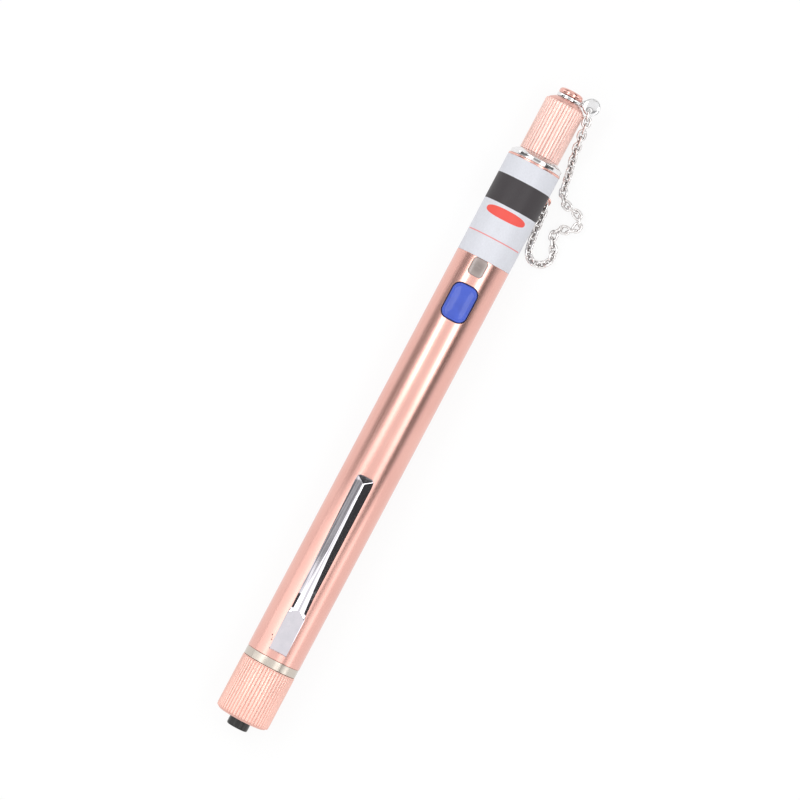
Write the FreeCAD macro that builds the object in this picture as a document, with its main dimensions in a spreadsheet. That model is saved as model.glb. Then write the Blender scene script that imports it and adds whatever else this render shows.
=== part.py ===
"""Pen-type visual fault locator: a laser pen that shines red light into a fibre to show its breaks.

The origin is the mouth of the ferrule port, +X points out of the port along the pen's axis and +Z is
the side with the clip and the push button. Sizes are in millimetres. Each sub-part is drawn in its own
frame, with X along the pen's axis, and is placed at a station of the pen, counted back from the port.
"""

import FreeCAD, Part

import math
import os

import Sketcher

App = FreeCAD

# Driving dimensions, one line for each size that can be set by itself.
DIMENSIONS = {
    # clearances
    "seat_gap": 0.05,
    "running_gap": 0.1,
    "face_gap": 0.02,
    "tool_overrun": 1.0,
    # ferrule port and its nose
    "port_bore": 2.5,
    "sleeve_diameter": 3.6,
    "sleeve_length": 10.0,
    "nose_diameter": 7.4,
    "nose_length": 12.3,
    "light_bore": 3.0,
    "adapter_thread_diameter": 8.2,
    "adapter_thread_length": 5.6,
    "adapter_rear_bore": 6.2,
    "adapter_rear_depth": 3.4,
    "mouth_bevel": 0.4,
    # head collar
    "collar_front_diameter": 10.6,
    "collar_step": 0.15,
    "collar_cone_length": 1.4,
    "collar_length": 2.2,
    "seam_bevel": 0.12,
    # tube
    "tube_wall": 1.4,
    "tube_edge_chamfer": 0.15,
    "joint_step": 0.6,
    "joint_depth": 5.2,
    # label
    "label_start": 0.5,
    "label_length": 26.2,
    "label_recess": 0.1,
    # indicator window behind the label, and the side button
    "window_margin": 0.02,
    "window_width": 4.0,
    "window_length": 4.56,
    "window_corner": 0.95,
    "window_gap": 0.03,
    "window_depth": 2.2,
    "button_spacing": 9.6,
    "button_width": 6.5,
    "button_length": 9.4,
    "button_corner": 2.0,
    "button_gap": 0.2,
    "button_rise": 0.45,
    "button_edge": 0.35,
    "button_flange_margin": 0.75,
    "button_flange_thickness": 0.7,
    "button_travel": 0.6,
    # optics
    "housing_nose_diameter": 6.0,
    "housing_length": 10.4,
    "lens_diameter": 4.0,
    "lens_thickness": 1.9,
    "lens_bulge": 0.55,
    "lens_setback": 1.2,
    "retainer_bore": 3.2,
    "aperture": 3.0,
    "aperture_length": 4.4,
    "diode_can_diameter": 3.8,
    "diode_can_length": 2.6,
    "diode_flange_diameter": 5.6,
    "diode_flange_thickness": 1.2,
    "diode_window": 1.6,
    "diode_window_depth": 0.3,
    "diode_pin_diameter": 0.45,
    "diode_pin_lap": 1.07,
    "diode_pin_circle": 2.54,
    # electronics
    "board_nose": 2.55,
    "board_tail": 6.15,
    "board_margin": 0.8,
    "board_thickness": 1.0,
    "board_top": -1.0,
    "board_tongue_width": 4.8,
    "board_tongue_length": 2.0,
    "cradle_wall": 1.2,
    "cradle_trough": 6.4,
    "contact_diameter": 7.0,
    "contact_thickness": 0.4,
    "switch_width": 6.0,
    "switch_height": 2.6,
    "plunger_diameter": 3.0,
    "plunger_seat": 0.6,
    "lamp_length": 3.5,
    "lamp_width": 2.8,
    "lamp_height": 1.9,
    "lamp_bevel": 0.24,
    "chip_length": 4.9,
    "chip_width": 3.9,
    "chip_height": 1.5,
    "chip_gap": 1.05,
    # cells
    "cell_diameter": 10.5,
    "cell_clearance": 0.35,
    "cell_length": 44.5,
    "cell_nub_diameter": 3.8,
    "cell_nub_length": 0.9,
    "cell_edge": 0.5,
    # tail ring
    "tail_ring_step": 0.07,
    "tail_ring_width": 2.3,
    "tail_thread_wall": 0.6,
    "tail_thread_length": 6.5,
    "tail_ring_clearance": 0.25,
    # tail cap
    "tail_cap_length": 14.7,
    "tail_cap_thread_depth": 7.0,
    "tail_cap_edge_radius": 1.2,
    "tail_rib_count": 50,
    "tail_rib_depth": 0.3,
    "tail_rib_margin": 0.7,
    # grooves between ribs, as shares of the ribs' pitch
    "groove_share": 0.72,
    "groove_root_share": 0.16,
    # tail switch, button and spring
    "retainer_seat_diameter": 10.4,
    "retainer_thickness": 1.2,
    "retainer_hole": 2.0,
    "switch_body_length": 3.0,
    "switch_bore_depth": 1.8,
    "chamber_diameter": 8.6,
    "chamber_length": 2.1,
    "tail_button_diameter": 5.5,
    "tail_button_rise": 2.4,
    "tail_button_edge": 0.4,
    "tail_button_flange_diameter": 8.0,
    "tail_button_flange_thickness": 0.78,
    "tail_plunger_diameter": 3.0,
    "tail_plunger_seat": 0.8,
    "spring_wire": 0.7,
    "spring_diameter": 8.4,
    "spring_turns": 5,
    "spring_room": 7.0,
    # dust cap
    "cap_diameter": 10.35,
    "cap_top_diameter": 6.8,
    "cap_top_station": 2.88,
    "cap_shoulder_length": 1.58,
    "cap_brow_length": 0.87,
    "cap_brow_diameter": 9.0,
    "cap_bore": 8.7,
    "cap_end_wall": 1.2,
    "cap_rib_count": 36,
    "cap_rib_depth": 0.26,
    "cap_rib_margin": 0.35,
    "cap_rib_run_out": 0.4,
    "liner_end": 0.6,
    "liner_short": 0.4,
    "rivet_head_diameter": 6.2,
    "rivet_head_thickness": 1.48,
    "rivet_head_round": 0.6,
    "rivet_neck_diameter": 3.0,
    "rivet_shank_diameter": 1.6,
    "rivet_tail_diameter": 3.8,
    "rivet_tail_thickness": 0.6,
    "rivet_neck_length": 1.14,
    # swivel ring
    "ring_diameter": 6.4,
    "ring_thickness": 0.8,
    "lug_diameter": 4.4,
    "lug_reach": 5.85,
    "lug_forward": 0.8,
    "lug_hole_diameter": 1.2,
    "lug_hole_back": 0.9,
    "lug_neck_width": 2.0,
    "lug_neck_thickness": 0.7,
    "lug_neck_bite": 0.38,
    # pocket clip, stations counted forward from the tube's rear
    "clip_pad_end": 1.9,
    "clip_pad_front": 11.8,
    "clip_pad_width": 4.65,
    "clip_pad_bevel": 0.27,
    "clip_pad_height": 0.9,
    "clip_pad_wall": 1.6,
    "clip_pad_shift": 0.75,
    "clip_arch_station": 13.3,
    "clip_arch_flat": 0.62,
    "clip_arch_shoulder": 3.2,
    "clip_arch_width": 4.1,
    "clip_arch_rise": 1.12,
    "clip_arch_shoulder_drop": 0.3,
    "clip_arch_side_drop": 0.8,
    "clip_neck_station": 18.1,
    "clip_neck_flat": 0.62,
    "clip_neck_shoulder": 2.8,
    "clip_neck_width": 4.0,
    "clip_neck_rise": 2.75,
    "clip_neck_shoulder_drop": 0.3,
    "clip_neck_side_drop": 1.0,
    "clip_hip_station": 47.8,
    "clip_hip_flat": 0.32,
    "clip_hip_shoulder": 2.4,
    "clip_hip_width": 4.6,
    "clip_hip_rise": 2.1,
    "clip_hip_shoulder_drop": 0.55,
    "clip_hip_side_drop": 1.1,
    "clip_brow_station": 49.15,
    "clip_brow_flat": 3.9,
    "clip_brow_shoulder": 4.1,
    "clip_brow_width": 4.3,
    "clip_brow_rise": 1.3,
    "clip_brow_shoulder_drop": 0.1,
    "clip_brow_side_drop": 0.25,
    "clip_toe_station": 49.6,
    "clip_toe_flat": 3.0,
    "clip_toe_shoulder": 3.2,
    "clip_toe_width": 3.4,
    "clip_toe_rise": 1.05,
    "clip_toe_shoulder_drop": 0.05,
    "clip_toe_side_drop": 0.15,
    "clip_thickness": 0.6,
    "clip_tab_length": 1.6,
    "clip_tab_width": 2.4,
    "clip_tab_front": 10.5,
    "clip_tab_spacing": 3.4,
    "clip_tab_gap": 0.1,
    # chain and its anchor
    "link_length": 3.0,
    "link_width": 2.4,
    "link_wire": 0.5,
    "link_slack": 0.24,
    "anchor_station": 6.5,
    "anchor_angle": 33.0,
    "anchor_standoff": 1.0,
    "anchor_eye_diameter": 2.2,
    "anchor_eye_thickness": 0.8,
    "anchor_hole_diameter": 1.1,
    "anchor_shank_diameter": 1.6,
    "anchor_collar_diameter": 2.2,
    "anchor_collar_height": 0.3,
}

LINK_SIDES = 8
LINK_BOW_STEPS = 5
TWIST_STEPS = 4
SPRING_SIDES = 6
PIN_ANGLES = (90, 210, 330)
# The lens's outline over its bulge, as shares of the bulge and of the radius.
LENS_PROFILE = ((0.45, 0.76), (0.8, 0.45), (1.0, 0.15))
# How early the lug's neck leans forward: 1 is evenly, less is sooner.
NECK_LEAN = 0.7
TOLERANCE = 1e-4

doc = App.newDocument("VisualFaultLocator")
sizes = doc.addObject("Spreadsheet::Sheet", "Sizes")
for row, (alias, number) in enumerate(DIMENSIONS.items(), start=1):
    sizes.set(f"A{row}", alias)
    sizes.set(f"B{row}", str(number))
    sizes.setAlias(f"B{row}", alias)
doc.recompute()

# Stations along the axis, as expressions of the sheet. Each one is where a piece begins or ends.
COLLAR_FRONT = "-Sizes.nose_length"
TUBE_FRONT = "-(Sizes.nose_length + Sizes.collar_length)"
WINDOW_SETBACK = (
    "(Sizes.label_start + Sizes.label_length + Sizes.window_margin + Sizes.window_length / 2)"
)
BUTTON_SETBACK = f"({WINDOW_SETBACK} + Sizes.button_spacing)"
BOARD_REAR_SETBACK = f"({BUTTON_SETBACK} + Sizes.switch_width / 2 + Sizes.board_tail)"
BAY_LENGTH = (
    f"({BOARD_REAR_SETBACK} + Sizes.cradle_wall + Sizes.contact_thickness + Sizes.seat_gap)"
)
TUBE_LENGTH = (
    f"({BAY_LENGTH} + 2 * Sizes.cell_length + Sizes.spring_room"
    " - Sizes.tail_ring_width - Sizes.tail_cap_thread_depth)"
)
TUBE_REAR = f"({TUBE_FRONT} - {TUBE_LENGTH})"
COLLAR_REAR = f"({TUBE_FRONT} - Sizes.joint_depth + Sizes.running_gap)"
ADAPTER_REAR = "-(Sizes.nose_length + Sizes.adapter_thread_length)"
WINDOW_STATION = f"({TUBE_FRONT} - {WINDOW_SETBACK})"
BUTTON_STATION = f"({TUBE_FRONT} - {BUTTON_SETBACK})"
BOARD_REAR = f"({TUBE_FRONT} - {BOARD_REAR_SETBACK})"
CHIP_STATION = f"({WINDOW_STATION} + Sizes.lamp_length / 2 + Sizes.chip_gap + Sizes.chip_length / 2)"
BOARD_FRONT = f"({CHIP_STATION} + Sizes.chip_length / 2 + Sizes.board_nose)"
BOARD_LENGTH = f"({BOARD_FRONT} - {BOARD_REAR})"
BAY_END = f"({TUBE_FRONT} - {BAY_LENGTH})"
TAIL_CAP_FRONT = f"({TUBE_REAR} - Sizes.tail_ring_width)"
TAIL_CAP_REAR = f"({TAIL_CAP_FRONT} - Sizes.tail_cap_length)"
CELLS_END = f"({BAY_END} - 2 * Sizes.cell_length)"
SEAT_FRONT = f"({TAIL_CAP_FRONT} - Sizes.tail_cap_thread_depth)"
SWITCH_FRONT = f"({SEAT_FRONT} - Sizes.retainer_thickness)"
SWITCH_REAR = f"({SWITCH_FRONT} - Sizes.switch_body_length)"
CHAMBER_REAR = f"({SWITCH_REAR} - Sizes.chamber_length)"
CAP_RIM = f"({COLLAR_FRONT} + Sizes.seat_gap)"
RING_STATION = "(Sizes.cap_top_station + Sizes.rivet_neck_length / 2)"
# Radii that follow the cells, which all the round pieces are built around.
BORE_RADIUS = "(Sizes.cell_diameter / 2 + Sizes.cell_clearance)"
TUBE_RADIUS = f"({BORE_RADIUS} + Sizes.tube_wall)"
TUBE_DIAMETER = f"(2 * {TUBE_RADIUS})"
JOINT_RADIUS = f"({BORE_RADIUS} + Sizes.joint_step)"
TAIL_RING_BORE_RADIUS = "(Sizes.cell_diameter / 2 + Sizes.tail_ring_clearance)"
TAIL_THREAD_RADIUS = f"({TAIL_RING_BORE_RADIUS} + Sizes.tail_thread_wall)"
BOARD_WIDTH = f"(2 * {BORE_RADIUS} - 2 * Sizes.board_margin)"
ANCHOR_REACH = f"({TUBE_RADIUS} + Sizes.anchor_standoff)"
SWITCH_TOP = "(Sizes.board_top + Sizes.switch_height)"
BUTTON_FLANGE_TOP = (
    f"(sqrt(pow({BORE_RADIUS}; 2) - pow(Sizes.button_width / 2 + Sizes.button_flange_margin; 2))"
    " - Sizes.seat_gap)"
)
BUTTON_FLANGE_BASE = f"({BUTTON_FLANGE_TOP} - Sizes.button_flange_thickness)"


def size(expression):
    """Give the number that an expression of the sheet stands for."""
    return float(sizes.evalExpression(str(expression)))


# Drawing helpers


def new_body(label, station="0"):
    """Start a sub-part whose frame sits on the pen's axis at a station."""
    body = doc.addObject("PartDesign::Body", label)
    body.Label = label
    body.setExpression(".Placement.Base.x", station)
    return body


def new_sketch(body, name, role, height="0", along="0", turn=None):
    """Add a sketch on one of the body's own origin planes, raised and moved along its first axis."""
    sketch = body.newObject("Sketcher::SketchObject", name)
    plane = [feature for feature in body.Origin.OriginFeatures if feature.Role == role][0]
    sketch.AttachmentSupport = [(plane, "")]
    sketch.MapMode = "FlatFace"
    sketch.setExpression(".AttachmentOffset.Base.z", height)
    sketch.setExpression(".AttachmentOffset.Base.x", along)
    if turn is not None:
        sketch.setExpression(".AttachmentOffset.Rotation.Angle", turn)
    return sketch


def bind(sketch, kind, first, expression):
    """Add one constraint and tie its value to the sheet."""
    index = sketch.addConstraint(Sketcher.Constraint(kind, *first, size(expression)))
    sketch.setExpression(f"Constraints[{index}]", str(expression))


def pin_corner(sketch, edge, corner):
    """Hold an edge's start point at a pair of expressions, on the sketch's axes where one is zero."""
    for axis, kind, place in ((-2, "DistanceX", corner[0]), (-1, "DistanceY", corner[1])):
        if place == "0":
            sketch.addConstraint(Sketcher.Constraint("PointOnObject", edge, 1, axis))
        else:
            bind(sketch, kind, (-1, 1, edge, 1), place)


def draw_outline(sketch, corners):
    """Draw a closed outline of straight lines through corners given as pairs of expressions."""
    points = [App.Vector(size(across), size(up), 0) for across, up in corners]
    count = len(points)
    for index, point in enumerate(points):
        sketch.addGeometry(Part.LineSegment(point, points[(index + 1) % count]))
    for index in range(count):
        sketch.addConstraint(Sketcher.Constraint("Coincident", index, 2, (index + 1) % count, 1))
    for index, corner in enumerate(corners):
        pin_corner(sketch, index, corner)


def draw_rounded_rectangle(sketch, length, width, corner):
    """Draw a rectangle with round corners about the sketch's origin."""
    half_length, half_width, radius = size(length) / 2, size(width) / 2, size(corner)
    inner_length, inner_width = half_length - radius, half_width - radius
    lines = [
        ((-inner_length, -half_width), (inner_length, -half_width)),
        ((half_length, -inner_width), (half_length, inner_width)),
        ((inner_length, half_width), (-inner_length, half_width)),
        ((-half_length, inner_width), (-half_length, -inner_width)),
    ]
    centres = [
        (inner_length, -inner_width),
        (inner_length, inner_width),
        (-inner_length, inner_width),
        (-inner_length, -inner_width),
    ]
    for start, end in lines:
        sketch.addGeometry(Part.LineSegment(App.Vector(*start, 0), App.Vector(*end, 0)))
    for index, centre in enumerate(centres):
        circle = Part.Circle(App.Vector(*centre, 0), App.Vector(0, 0, 1), radius)
        begin = math.radians(90 * index - 90)
        sketch.addGeometry(Part.ArcOfCircle(circle, begin, begin + math.pi / 2))
    for index in range(4):
        arc, after = index + 4, (index + 1) % 4
        sketch.addConstraint(Sketcher.Constraint("Tangent", index, 2, arc, 1))
        sketch.addConstraint(Sketcher.Constraint("Tangent", arc, 2, after, 1))
    for index in (0, 2):
        sketch.addConstraint(Sketcher.Constraint("Horizontal", index))
    for index in (1, 3):
        sketch.addConstraint(Sketcher.Constraint("Vertical", index))
    for arc in (5, 6, 7):
        sketch.addConstraint(Sketcher.Constraint("Equal", 4, arc))
    bind(sketch, "Radius", (4,), corner)
    bind(sketch, "DistanceX", (-1, 1, 1, 1), f"{length} / 2")
    bind(sketch, "DistanceX", (3, 1, 1, 1), length)
    bind(sketch, "DistanceY", (-1, 1, 2, 1), f"{width} / 2")
    bind(sketch, "DistanceY", (0, 1, 2, 1), width)


def revolve(body, corners, name="Turned"):
    """Turn an outline of (along, radius) corners about the pen's axis."""
    sketch = new_sketch(body, f"{name}Outline", "XY_Plane")
    draw_outline(sketch, corners)
    turned = body.newObject("PartDesign::Revolution", name)
    turned.Profile = sketch
    turned.ReferenceAxis = (sketch, ["H_Axis"])
    turned.Angle = 360
    doc.recompute()
    return turned


def pad(body, sketch, length, name):
    """Raise a sketch along its normal."""
    feature = body.newObject("PartDesign::Pad", name)
    feature.Profile = sketch
    feature.setExpression("Length", length)
    doc.recompute()
    return feature


def pocket(body, sketch, depth, name, reverse=False):
    """Cut a sketch's outline out of the body, against its normal or along it, and check that it cuts."""
    before = body.Shape.Volume
    feature = body.newObject("PartDesign::Pocket", name)
    feature.Profile = sketch
    feature.Reversed = reverse
    feature.setExpression("Length", depth)
    doc.recompute()
    if not body.Shape.Volume < before:
        raise ValueError(f"{body.Label}: {name} cuts nothing")
    return feature


def cut_cylinder(body, radius, height, place, turn, name):
    """Take a cylinder out of the body, lying as turn says."""
    feature = body.newObject("PartDesign::SubtractiveCylinder", name)
    feature.setExpression("Radius", radius)
    feature.setExpression("Height", height)
    set_solid_place(feature, place, turn)
    return feature


def set_solid_place(feature, place, turn):
    """Bind where a primitive stands: its base point and a rotation of (axis, angle expression)."""
    for axis, expression in zip("xyz", place):
        feature.setExpression(f".Placement.Base.{axis}", expression)
    direction, angle = turn
    feature.Placement.Rotation = App.Rotation(App.Vector(*direction), size(angle))
    feature.setExpression(".Placement.Rotation.Angle", angle)
    doc.recompute()


def add_box(body, length, width, height, place, name):
    """Add a box by its low corner."""
    feature = body.newObject("PartDesign::AdditiveBox", name)
    for side, expression in (("Length", length), ("Width", width), ("Height", height)):
        feature.setExpression(side, expression)
    for axis, expression in zip("xyz", place):
        feature.setExpression(f".Placement.Base.{axis}", expression)
    doc.recompute()
    return feature


def cut_box(body, length, width, height, place, name):
    """Take a box out of the body by its low corner."""
    feature = body.newObject("PartDesign::SubtractiveBox", name)
    for side, expression in (("Length", length), ("Width", width), ("Height", height)):
        feature.setExpression(side, expression)
    for axis, expression in zip("xyz", place):
        feature.setExpression(f".Placement.Base.{axis}", expression)
    doc.recompute()
    return feature


def circles_at(shape, station, radius):
    """Name the round edges of a shape at a station and radius about its own axis."""
    names = []
    for index, edge in enumerate(shape.Edges, start=1):
        curve = edge.Curve
        if not isinstance(curve, Part.Circle) or abs(abs(curve.Axis.x) - 1) > TOLERANCE:
            continue
        if abs(curve.Center.x - station) < TOLERANCE and abs(curve.Radius - radius) < TOLERANCE:
            names.append(f"Edge{index}")
    return names


def round_edge(body, feature, station, radius, amount, name, kind="Fillet"):
    """Round or bevel the circular edge at a station and radius."""
    shape = feature.Shape
    edges = circles_at(shape, size(station), size(radius))
    if not edges:
        raise ValueError(f"{body.Label}: no edge for {name}")
    dressed = body.newObject(f"PartDesign::{kind}", name)
    dressed.Base = (feature, edges)
    dressed.setExpression("Radius" if kind == "Fillet" else "Size", amount)
    doc.recompute()
    return dressed


def cut_ribs(body, radius, depth, count, start, length):
    """Cut straight V grooves along the outside, evenly round the axis, and leave ribs between them."""
    sketch = new_sketch(body, "RibGroove", "YZ_Plane", height=start)
    half_pitch = f"(pi * {radius} / {count})"
    foot = f"(Sizes.groove_root_share * {half_pitch})"
    mouth = f"((2 * Sizes.groove_share - Sizes.groove_root_share) * {half_pitch})"
    root = f"({radius} - {depth})"
    outer = f"({radius} + {depth})"
    draw_outline(
        sketch,
        [
            (f"-{foot}", root),
            (foot, root),
            (mouth, outer),
            (f"-{mouth}", outer),
        ],
    )
    groove = pocket(body, sketch, length, "FirstGroove", reverse=True)
    pattern = body.newObject("PartDesign::PolarPattern", "Grooves")
    pattern.Originals = [groove]
    axis = [feature for feature in body.Origin.OriginFeatures if feature.Role == "X_Axis"][0]
    pattern.Axis = (axis, [""])
    pattern.Angle = 360
    pattern.setExpression("Occurrences", count)
    body.Tip = pattern
    doc.recompute()
    return pattern


# Ferrule port


def make_adapter_barrel():
    """Turn the port's nose: a bore for the ceramic sleeve, a light way and a screwed foot."""
    body = new_body("adapter_barrel", ADAPTER_REAR)
    total = "(Sizes.nose_length + Sizes.adapter_thread_length)"
    shoulder = "Sizes.adapter_thread_length"
    sleeve_seat = f"({total} - Sizes.sleeve_length)"
    nose = "Sizes.nose_diameter / 2"
    foot = "Sizes.adapter_thread_diameter / 2"
    sleeve = "Sizes.sleeve_diameter / 2"
    turned = revolve(
        body,
        [
            ("0", "Sizes.adapter_rear_bore / 2"),
            ("0", foot),
            (shoulder, foot),
            (shoulder, nose),
            (total, nose),
            (total, sleeve),
            (sleeve_seat, sleeve),
            (sleeve_seat, "Sizes.light_bore / 2"),
            ("Sizes.adapter_rear_depth", "Sizes.light_bore / 2"),
            ("Sizes.adapter_rear_depth", "Sizes.adapter_rear_bore / 2"),
        ],
    )
    round_edge(body, turned, total, nose, "Sizes.mouth_bevel", "MouthBevel", "Chamfer")
    return body


def make_ferrule_sleeve():
    """Turn the ceramic sleeve that takes the ferrule, flush with the port's mouth."""
    body = new_body("ferrule_sleeve", "-Sizes.sleeve_length + Sizes.face_gap")
    length = "(Sizes.sleeve_length - Sizes.face_gap)"
    outer = "(Sizes.sleeve_diameter / 2 - Sizes.face_gap)"
    bore = "Sizes.port_bore / 2"
    revolve(body, [("0", bore), ("0", outer), (length, outer), (length, bore)])
    return body


def make_head_collar():
    """Turn the collar: a cone towards the cap, a short band and a spigot inside the tube."""
    body = new_body("head_collar", COLLAR_REAR)
    spigot = f"({TUBE_FRONT} - {COLLAR_REAR})"
    front = f"({COLLAR_FRONT} - {COLLAR_REAR})"
    cone_foot = f"({front} - Sizes.collar_cone_length)"
    band = f"({TUBE_RADIUS} - Sizes.collar_step)"
    spigot_radius = f"({JOINT_RADIUS} - Sizes.seat_gap)"
    bore = "(Sizes.adapter_thread_diameter / 2 + Sizes.seat_gap)"
    turned = revolve(
        body,
        [
            ("0", bore),
            ("0", spigot_radius),
            (spigot, spigot_radius),
            (spigot, band),
            (cone_foot, band),
            (front, "Sizes.collar_front_diameter / 2"),
            (front, bore),
        ],
    )
    round_edge(body, turned, spigot, band, "Sizes.seam_bevel", "SeamBevel", "Chamfer")
    return body


# Tube and what it carries


def make_barrel_tube():
    """Turn the tube, then cut the window, the button's opening, the clip's slots and the anchor's hole."""
    body = new_body("barrel_tube", TUBE_REAR)
    outer = TUBE_RADIUS
    label_radius = f"({TUBE_RADIUS} - Sizes.label_recess)"
    joint = JOINT_RADIUS
    front_step = f"({TUBE_LENGTH} - Sizes.joint_depth)"
    label_front = f"({TUBE_LENGTH} - Sizes.label_start)"
    label_rear = f"({TUBE_LENGTH} - Sizes.label_start - Sizes.label_length)"
    turned = revolve(
        body,
        [
            ("0", joint),
            ("0", outer),
            (label_rear, outer),
            (label_rear, label_radius),
            (label_front, label_radius),
            (label_front, outer),
            (TUBE_LENGTH, outer),
            (TUBE_LENGTH, joint),
            (front_step, joint),
            (front_step, BORE_RADIUS),
            ("Sizes.joint_depth", BORE_RADIUS),
            ("Sizes.joint_depth", joint),
        ],
    )
    edge = "Sizes.tube_edge_chamfer"
    rear = round_edge(body, turned, "0", outer, edge, "RearBevel", "Chamfer")
    round_edge(body, rear, TUBE_LENGTH, outer, edge, "FrontBevel", "Chamfer")
    window = new_sketch(
        body, "WindowOutline", "XY_Plane", along=f"{TUBE_LENGTH} - {WINDOW_SETBACK}"
    )
    draw_rounded_rectangle(window, "Sizes.window_length", "Sizes.window_width", "Sizes.window_corner")
    pocket(body, window, TUBE_DIAMETER, "WindowHole", reverse=True)
    button = new_sketch(
        body, "ButtonOutline", "XY_Plane", along=f"{TUBE_LENGTH} - {BUTTON_SETBACK}"
    )
    draw_rounded_rectangle(
        button,
        "(Sizes.button_length + 2 * Sizes.button_gap)",
        "(Sizes.button_width + 2 * Sizes.button_gap)",
        "(Sizes.button_corner + Sizes.button_gap)",
    )
    pocket(body, button, TUBE_DIAMETER, "ButtonHole", reverse=True)
    for index in range(2):
        cut_box(
            body,
            "Sizes.clip_tab_length + 2 * Sizes.clip_tab_gap",
            "Sizes.clip_tab_width + 2 * Sizes.clip_tab_gap",
            TUBE_DIAMETER,
            (
                f"Sizes.clip_tab_front - {index} * Sizes.clip_tab_spacing"
                " - Sizes.clip_tab_length - Sizes.clip_tab_gap",
                "-Sizes.clip_tab_width / 2 - Sizes.clip_tab_gap",
                "0",
            ),
            f"ClipSlot{index + 1}",
        )
    cut_cylinder(
        body,
        "Sizes.anchor_shank_diameter / 2 + Sizes.face_gap",
        TUBE_DIAMETER,
        (f"{TUBE_LENGTH} - Sizes.anchor_station", "0", "0"),
        ((1, 0, 0), "90 + Sizes.anchor_angle"),
        "AnchorHole",
    )
    return body


def make_label_sleeve():
    """Turn the film that lies in the tube's shallow recess, with a hole for the anchor's collar."""
    body = new_body("label_sleeve", f"({TUBE_FRONT} - Sizes.label_start - Sizes.label_length)")
    outer = f"({TUBE_RADIUS} - Sizes.face_gap / 2)"
    inner = f"({TUBE_RADIUS} - Sizes.label_recess + Sizes.face_gap / 2)"
    revolve(
        body,
        [
            ("Sizes.face_gap", inner),
            ("Sizes.face_gap", outer),
            ("Sizes.label_length - Sizes.face_gap", outer),
            ("Sizes.label_length - Sizes.face_gap", inner),
        ],
    )
    cut_cylinder(
        body,
        "Sizes.anchor_collar_diameter / 2 + Sizes.seat_gap",
        TUBE_DIAMETER,
        ("Sizes.label_length + Sizes.label_start - Sizes.anchor_station", "0", "0"),
        ((1, 0, 0), "90 + Sizes.anchor_angle"),
        "AnchorHole",
    )
    return body


def trim_to_tube(body, radius, length, name):
    """Keep what lies inside a cylinder about the pen's axis, as wide as the body needs."""
    half = f"({length} / 2)"
    shell = new_sketch(body, f"{name}Outline", "XY_Plane")
    draw_outline(
        shell,
        [
            (f"-{half}", radius),
            (half, radius),
            (half, f"{radius} * 2"),
            (f"-{half}", f"{radius} * 2"),
        ],
    )
    groove = body.newObject("PartDesign::Groove", name)
    groove.Profile = shell
    groove.ReferenceAxis = (shell, ["H_Axis"])
    groove.Angle = 360
    doc.recompute()
    return groove


def make_indicator_window():
    """Fill the window's hole with a lens that follows the tube's round outside."""
    body = new_body("indicator_window", WINDOW_STATION)
    base = f"({TUBE_RADIUS} - Sizes.window_depth)"
    outline = new_sketch(body, "LensOutline", "XY_Plane", height=base)
    draw_rounded_rectangle(
        outline,
        "(Sizes.window_length - 2 * Sizes.window_gap)",
        "(Sizes.window_width - 2 * Sizes.window_gap)",
        "(Sizes.window_corner - Sizes.window_gap)",
    )
    pad(body, outline, "Sizes.window_depth + Sizes.tool_overrun", "Lens")
    trim_to_tube(body, f"({TUBE_RADIUS} - Sizes.face_gap)", "Sizes.window_length", "OuterCurve")
    return body


def make_side_button():
    """Raise the push button with a crowned top, over a wider flange that holds it in the tube."""
    body = new_body("side_button", BUTTON_STATION)
    flange = new_sketch(body, "FlangeOutline", "XY_Plane", height=BUTTON_FLANGE_BASE)
    margin = "2 * Sizes.button_flange_margin"
    draw_rounded_rectangle(
        flange,
        f"(Sizes.button_length + {margin})",
        f"(Sizes.button_width + {margin})",
        "(Sizes.button_corner + Sizes.button_flange_margin)",
    )
    pad(body, flange, "Sizes.button_flange_thickness", "Flange")
    outline = new_sketch(body, "ButtonOutline", "XY_Plane", height=BUTTON_FLANGE_BASE)
    draw_rounded_rectangle(outline, "Sizes.button_length", "Sizes.button_width", "Sizes.button_corner")
    top = f"({TUBE_RADIUS} + Sizes.button_rise)"
    pad(body, outline, f"{top} + Sizes.tool_overrun - {BUTTON_FLANGE_BASE}", "Button")
    trimmed = trim_to_tube(body, top, "(Sizes.button_length + 2 * Sizes.tool_overrun)", "Crown")
    rim = [
        f"Edge{index}"
        for index, edge in enumerate(trimmed.Shape.Edges, start=1)
        if edge.BoundBox.ZMin > size(f"{BUTTON_FLANGE_TOP} + Sizes.face_gap")
    ]
    bevel = body.newObject("PartDesign::Chamfer", "RimBevel")
    bevel.Base = (trimmed, rim)
    bevel.setExpression("Size", "Sizes.button_edge")
    doc.recompute()
    return body


# Optics


def make_laser_housing():
    """Turn the brass housing: a nose in the adapter, seats for the lens and the diode."""
    body = new_body("laser_housing", f"({COLLAR_REAR} - Sizes.face_gap - Sizes.housing_length)")
    nose_end = f"({ADAPTER_REAR} + Sizes.adapter_rear_depth - {COLLAR_REAR} + Sizes.housing_length)"
    nose = "Sizes.housing_nose_diameter / 2"
    outer = f"({BORE_RADIUS} - Sizes.seat_gap)"
    lens = "(Sizes.lens_diameter / 2 + Sizes.face_gap)"
    lens_seat = f"({nose_end} - Sizes.lens_setback - Sizes.lens_thickness)"
    can_front = f"({lens_seat} - Sizes.aperture_length)"
    flange_front = f"({can_front} - Sizes.diode_can_length + Sizes.face_gap)"
    can = "(Sizes.diode_can_diameter / 2 + Sizes.seat_gap)"
    flange = "(Sizes.diode_flange_diameter / 2 + Sizes.seat_gap)"
    revolve(
        body,
        [
            ("0", flange),
            ("0", outer),
            ("Sizes.housing_length", outer),
            ("Sizes.housing_length", nose),
            (nose_end, nose),
            (nose_end, lens),
            (lens_seat, lens),
            (lens_seat, "Sizes.aperture / 2"),
            (can_front, "Sizes.aperture / 2"),
            (can_front, can),
            (flange_front, can),
            (flange_front, flange),
        ],
    )
    return body


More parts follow.
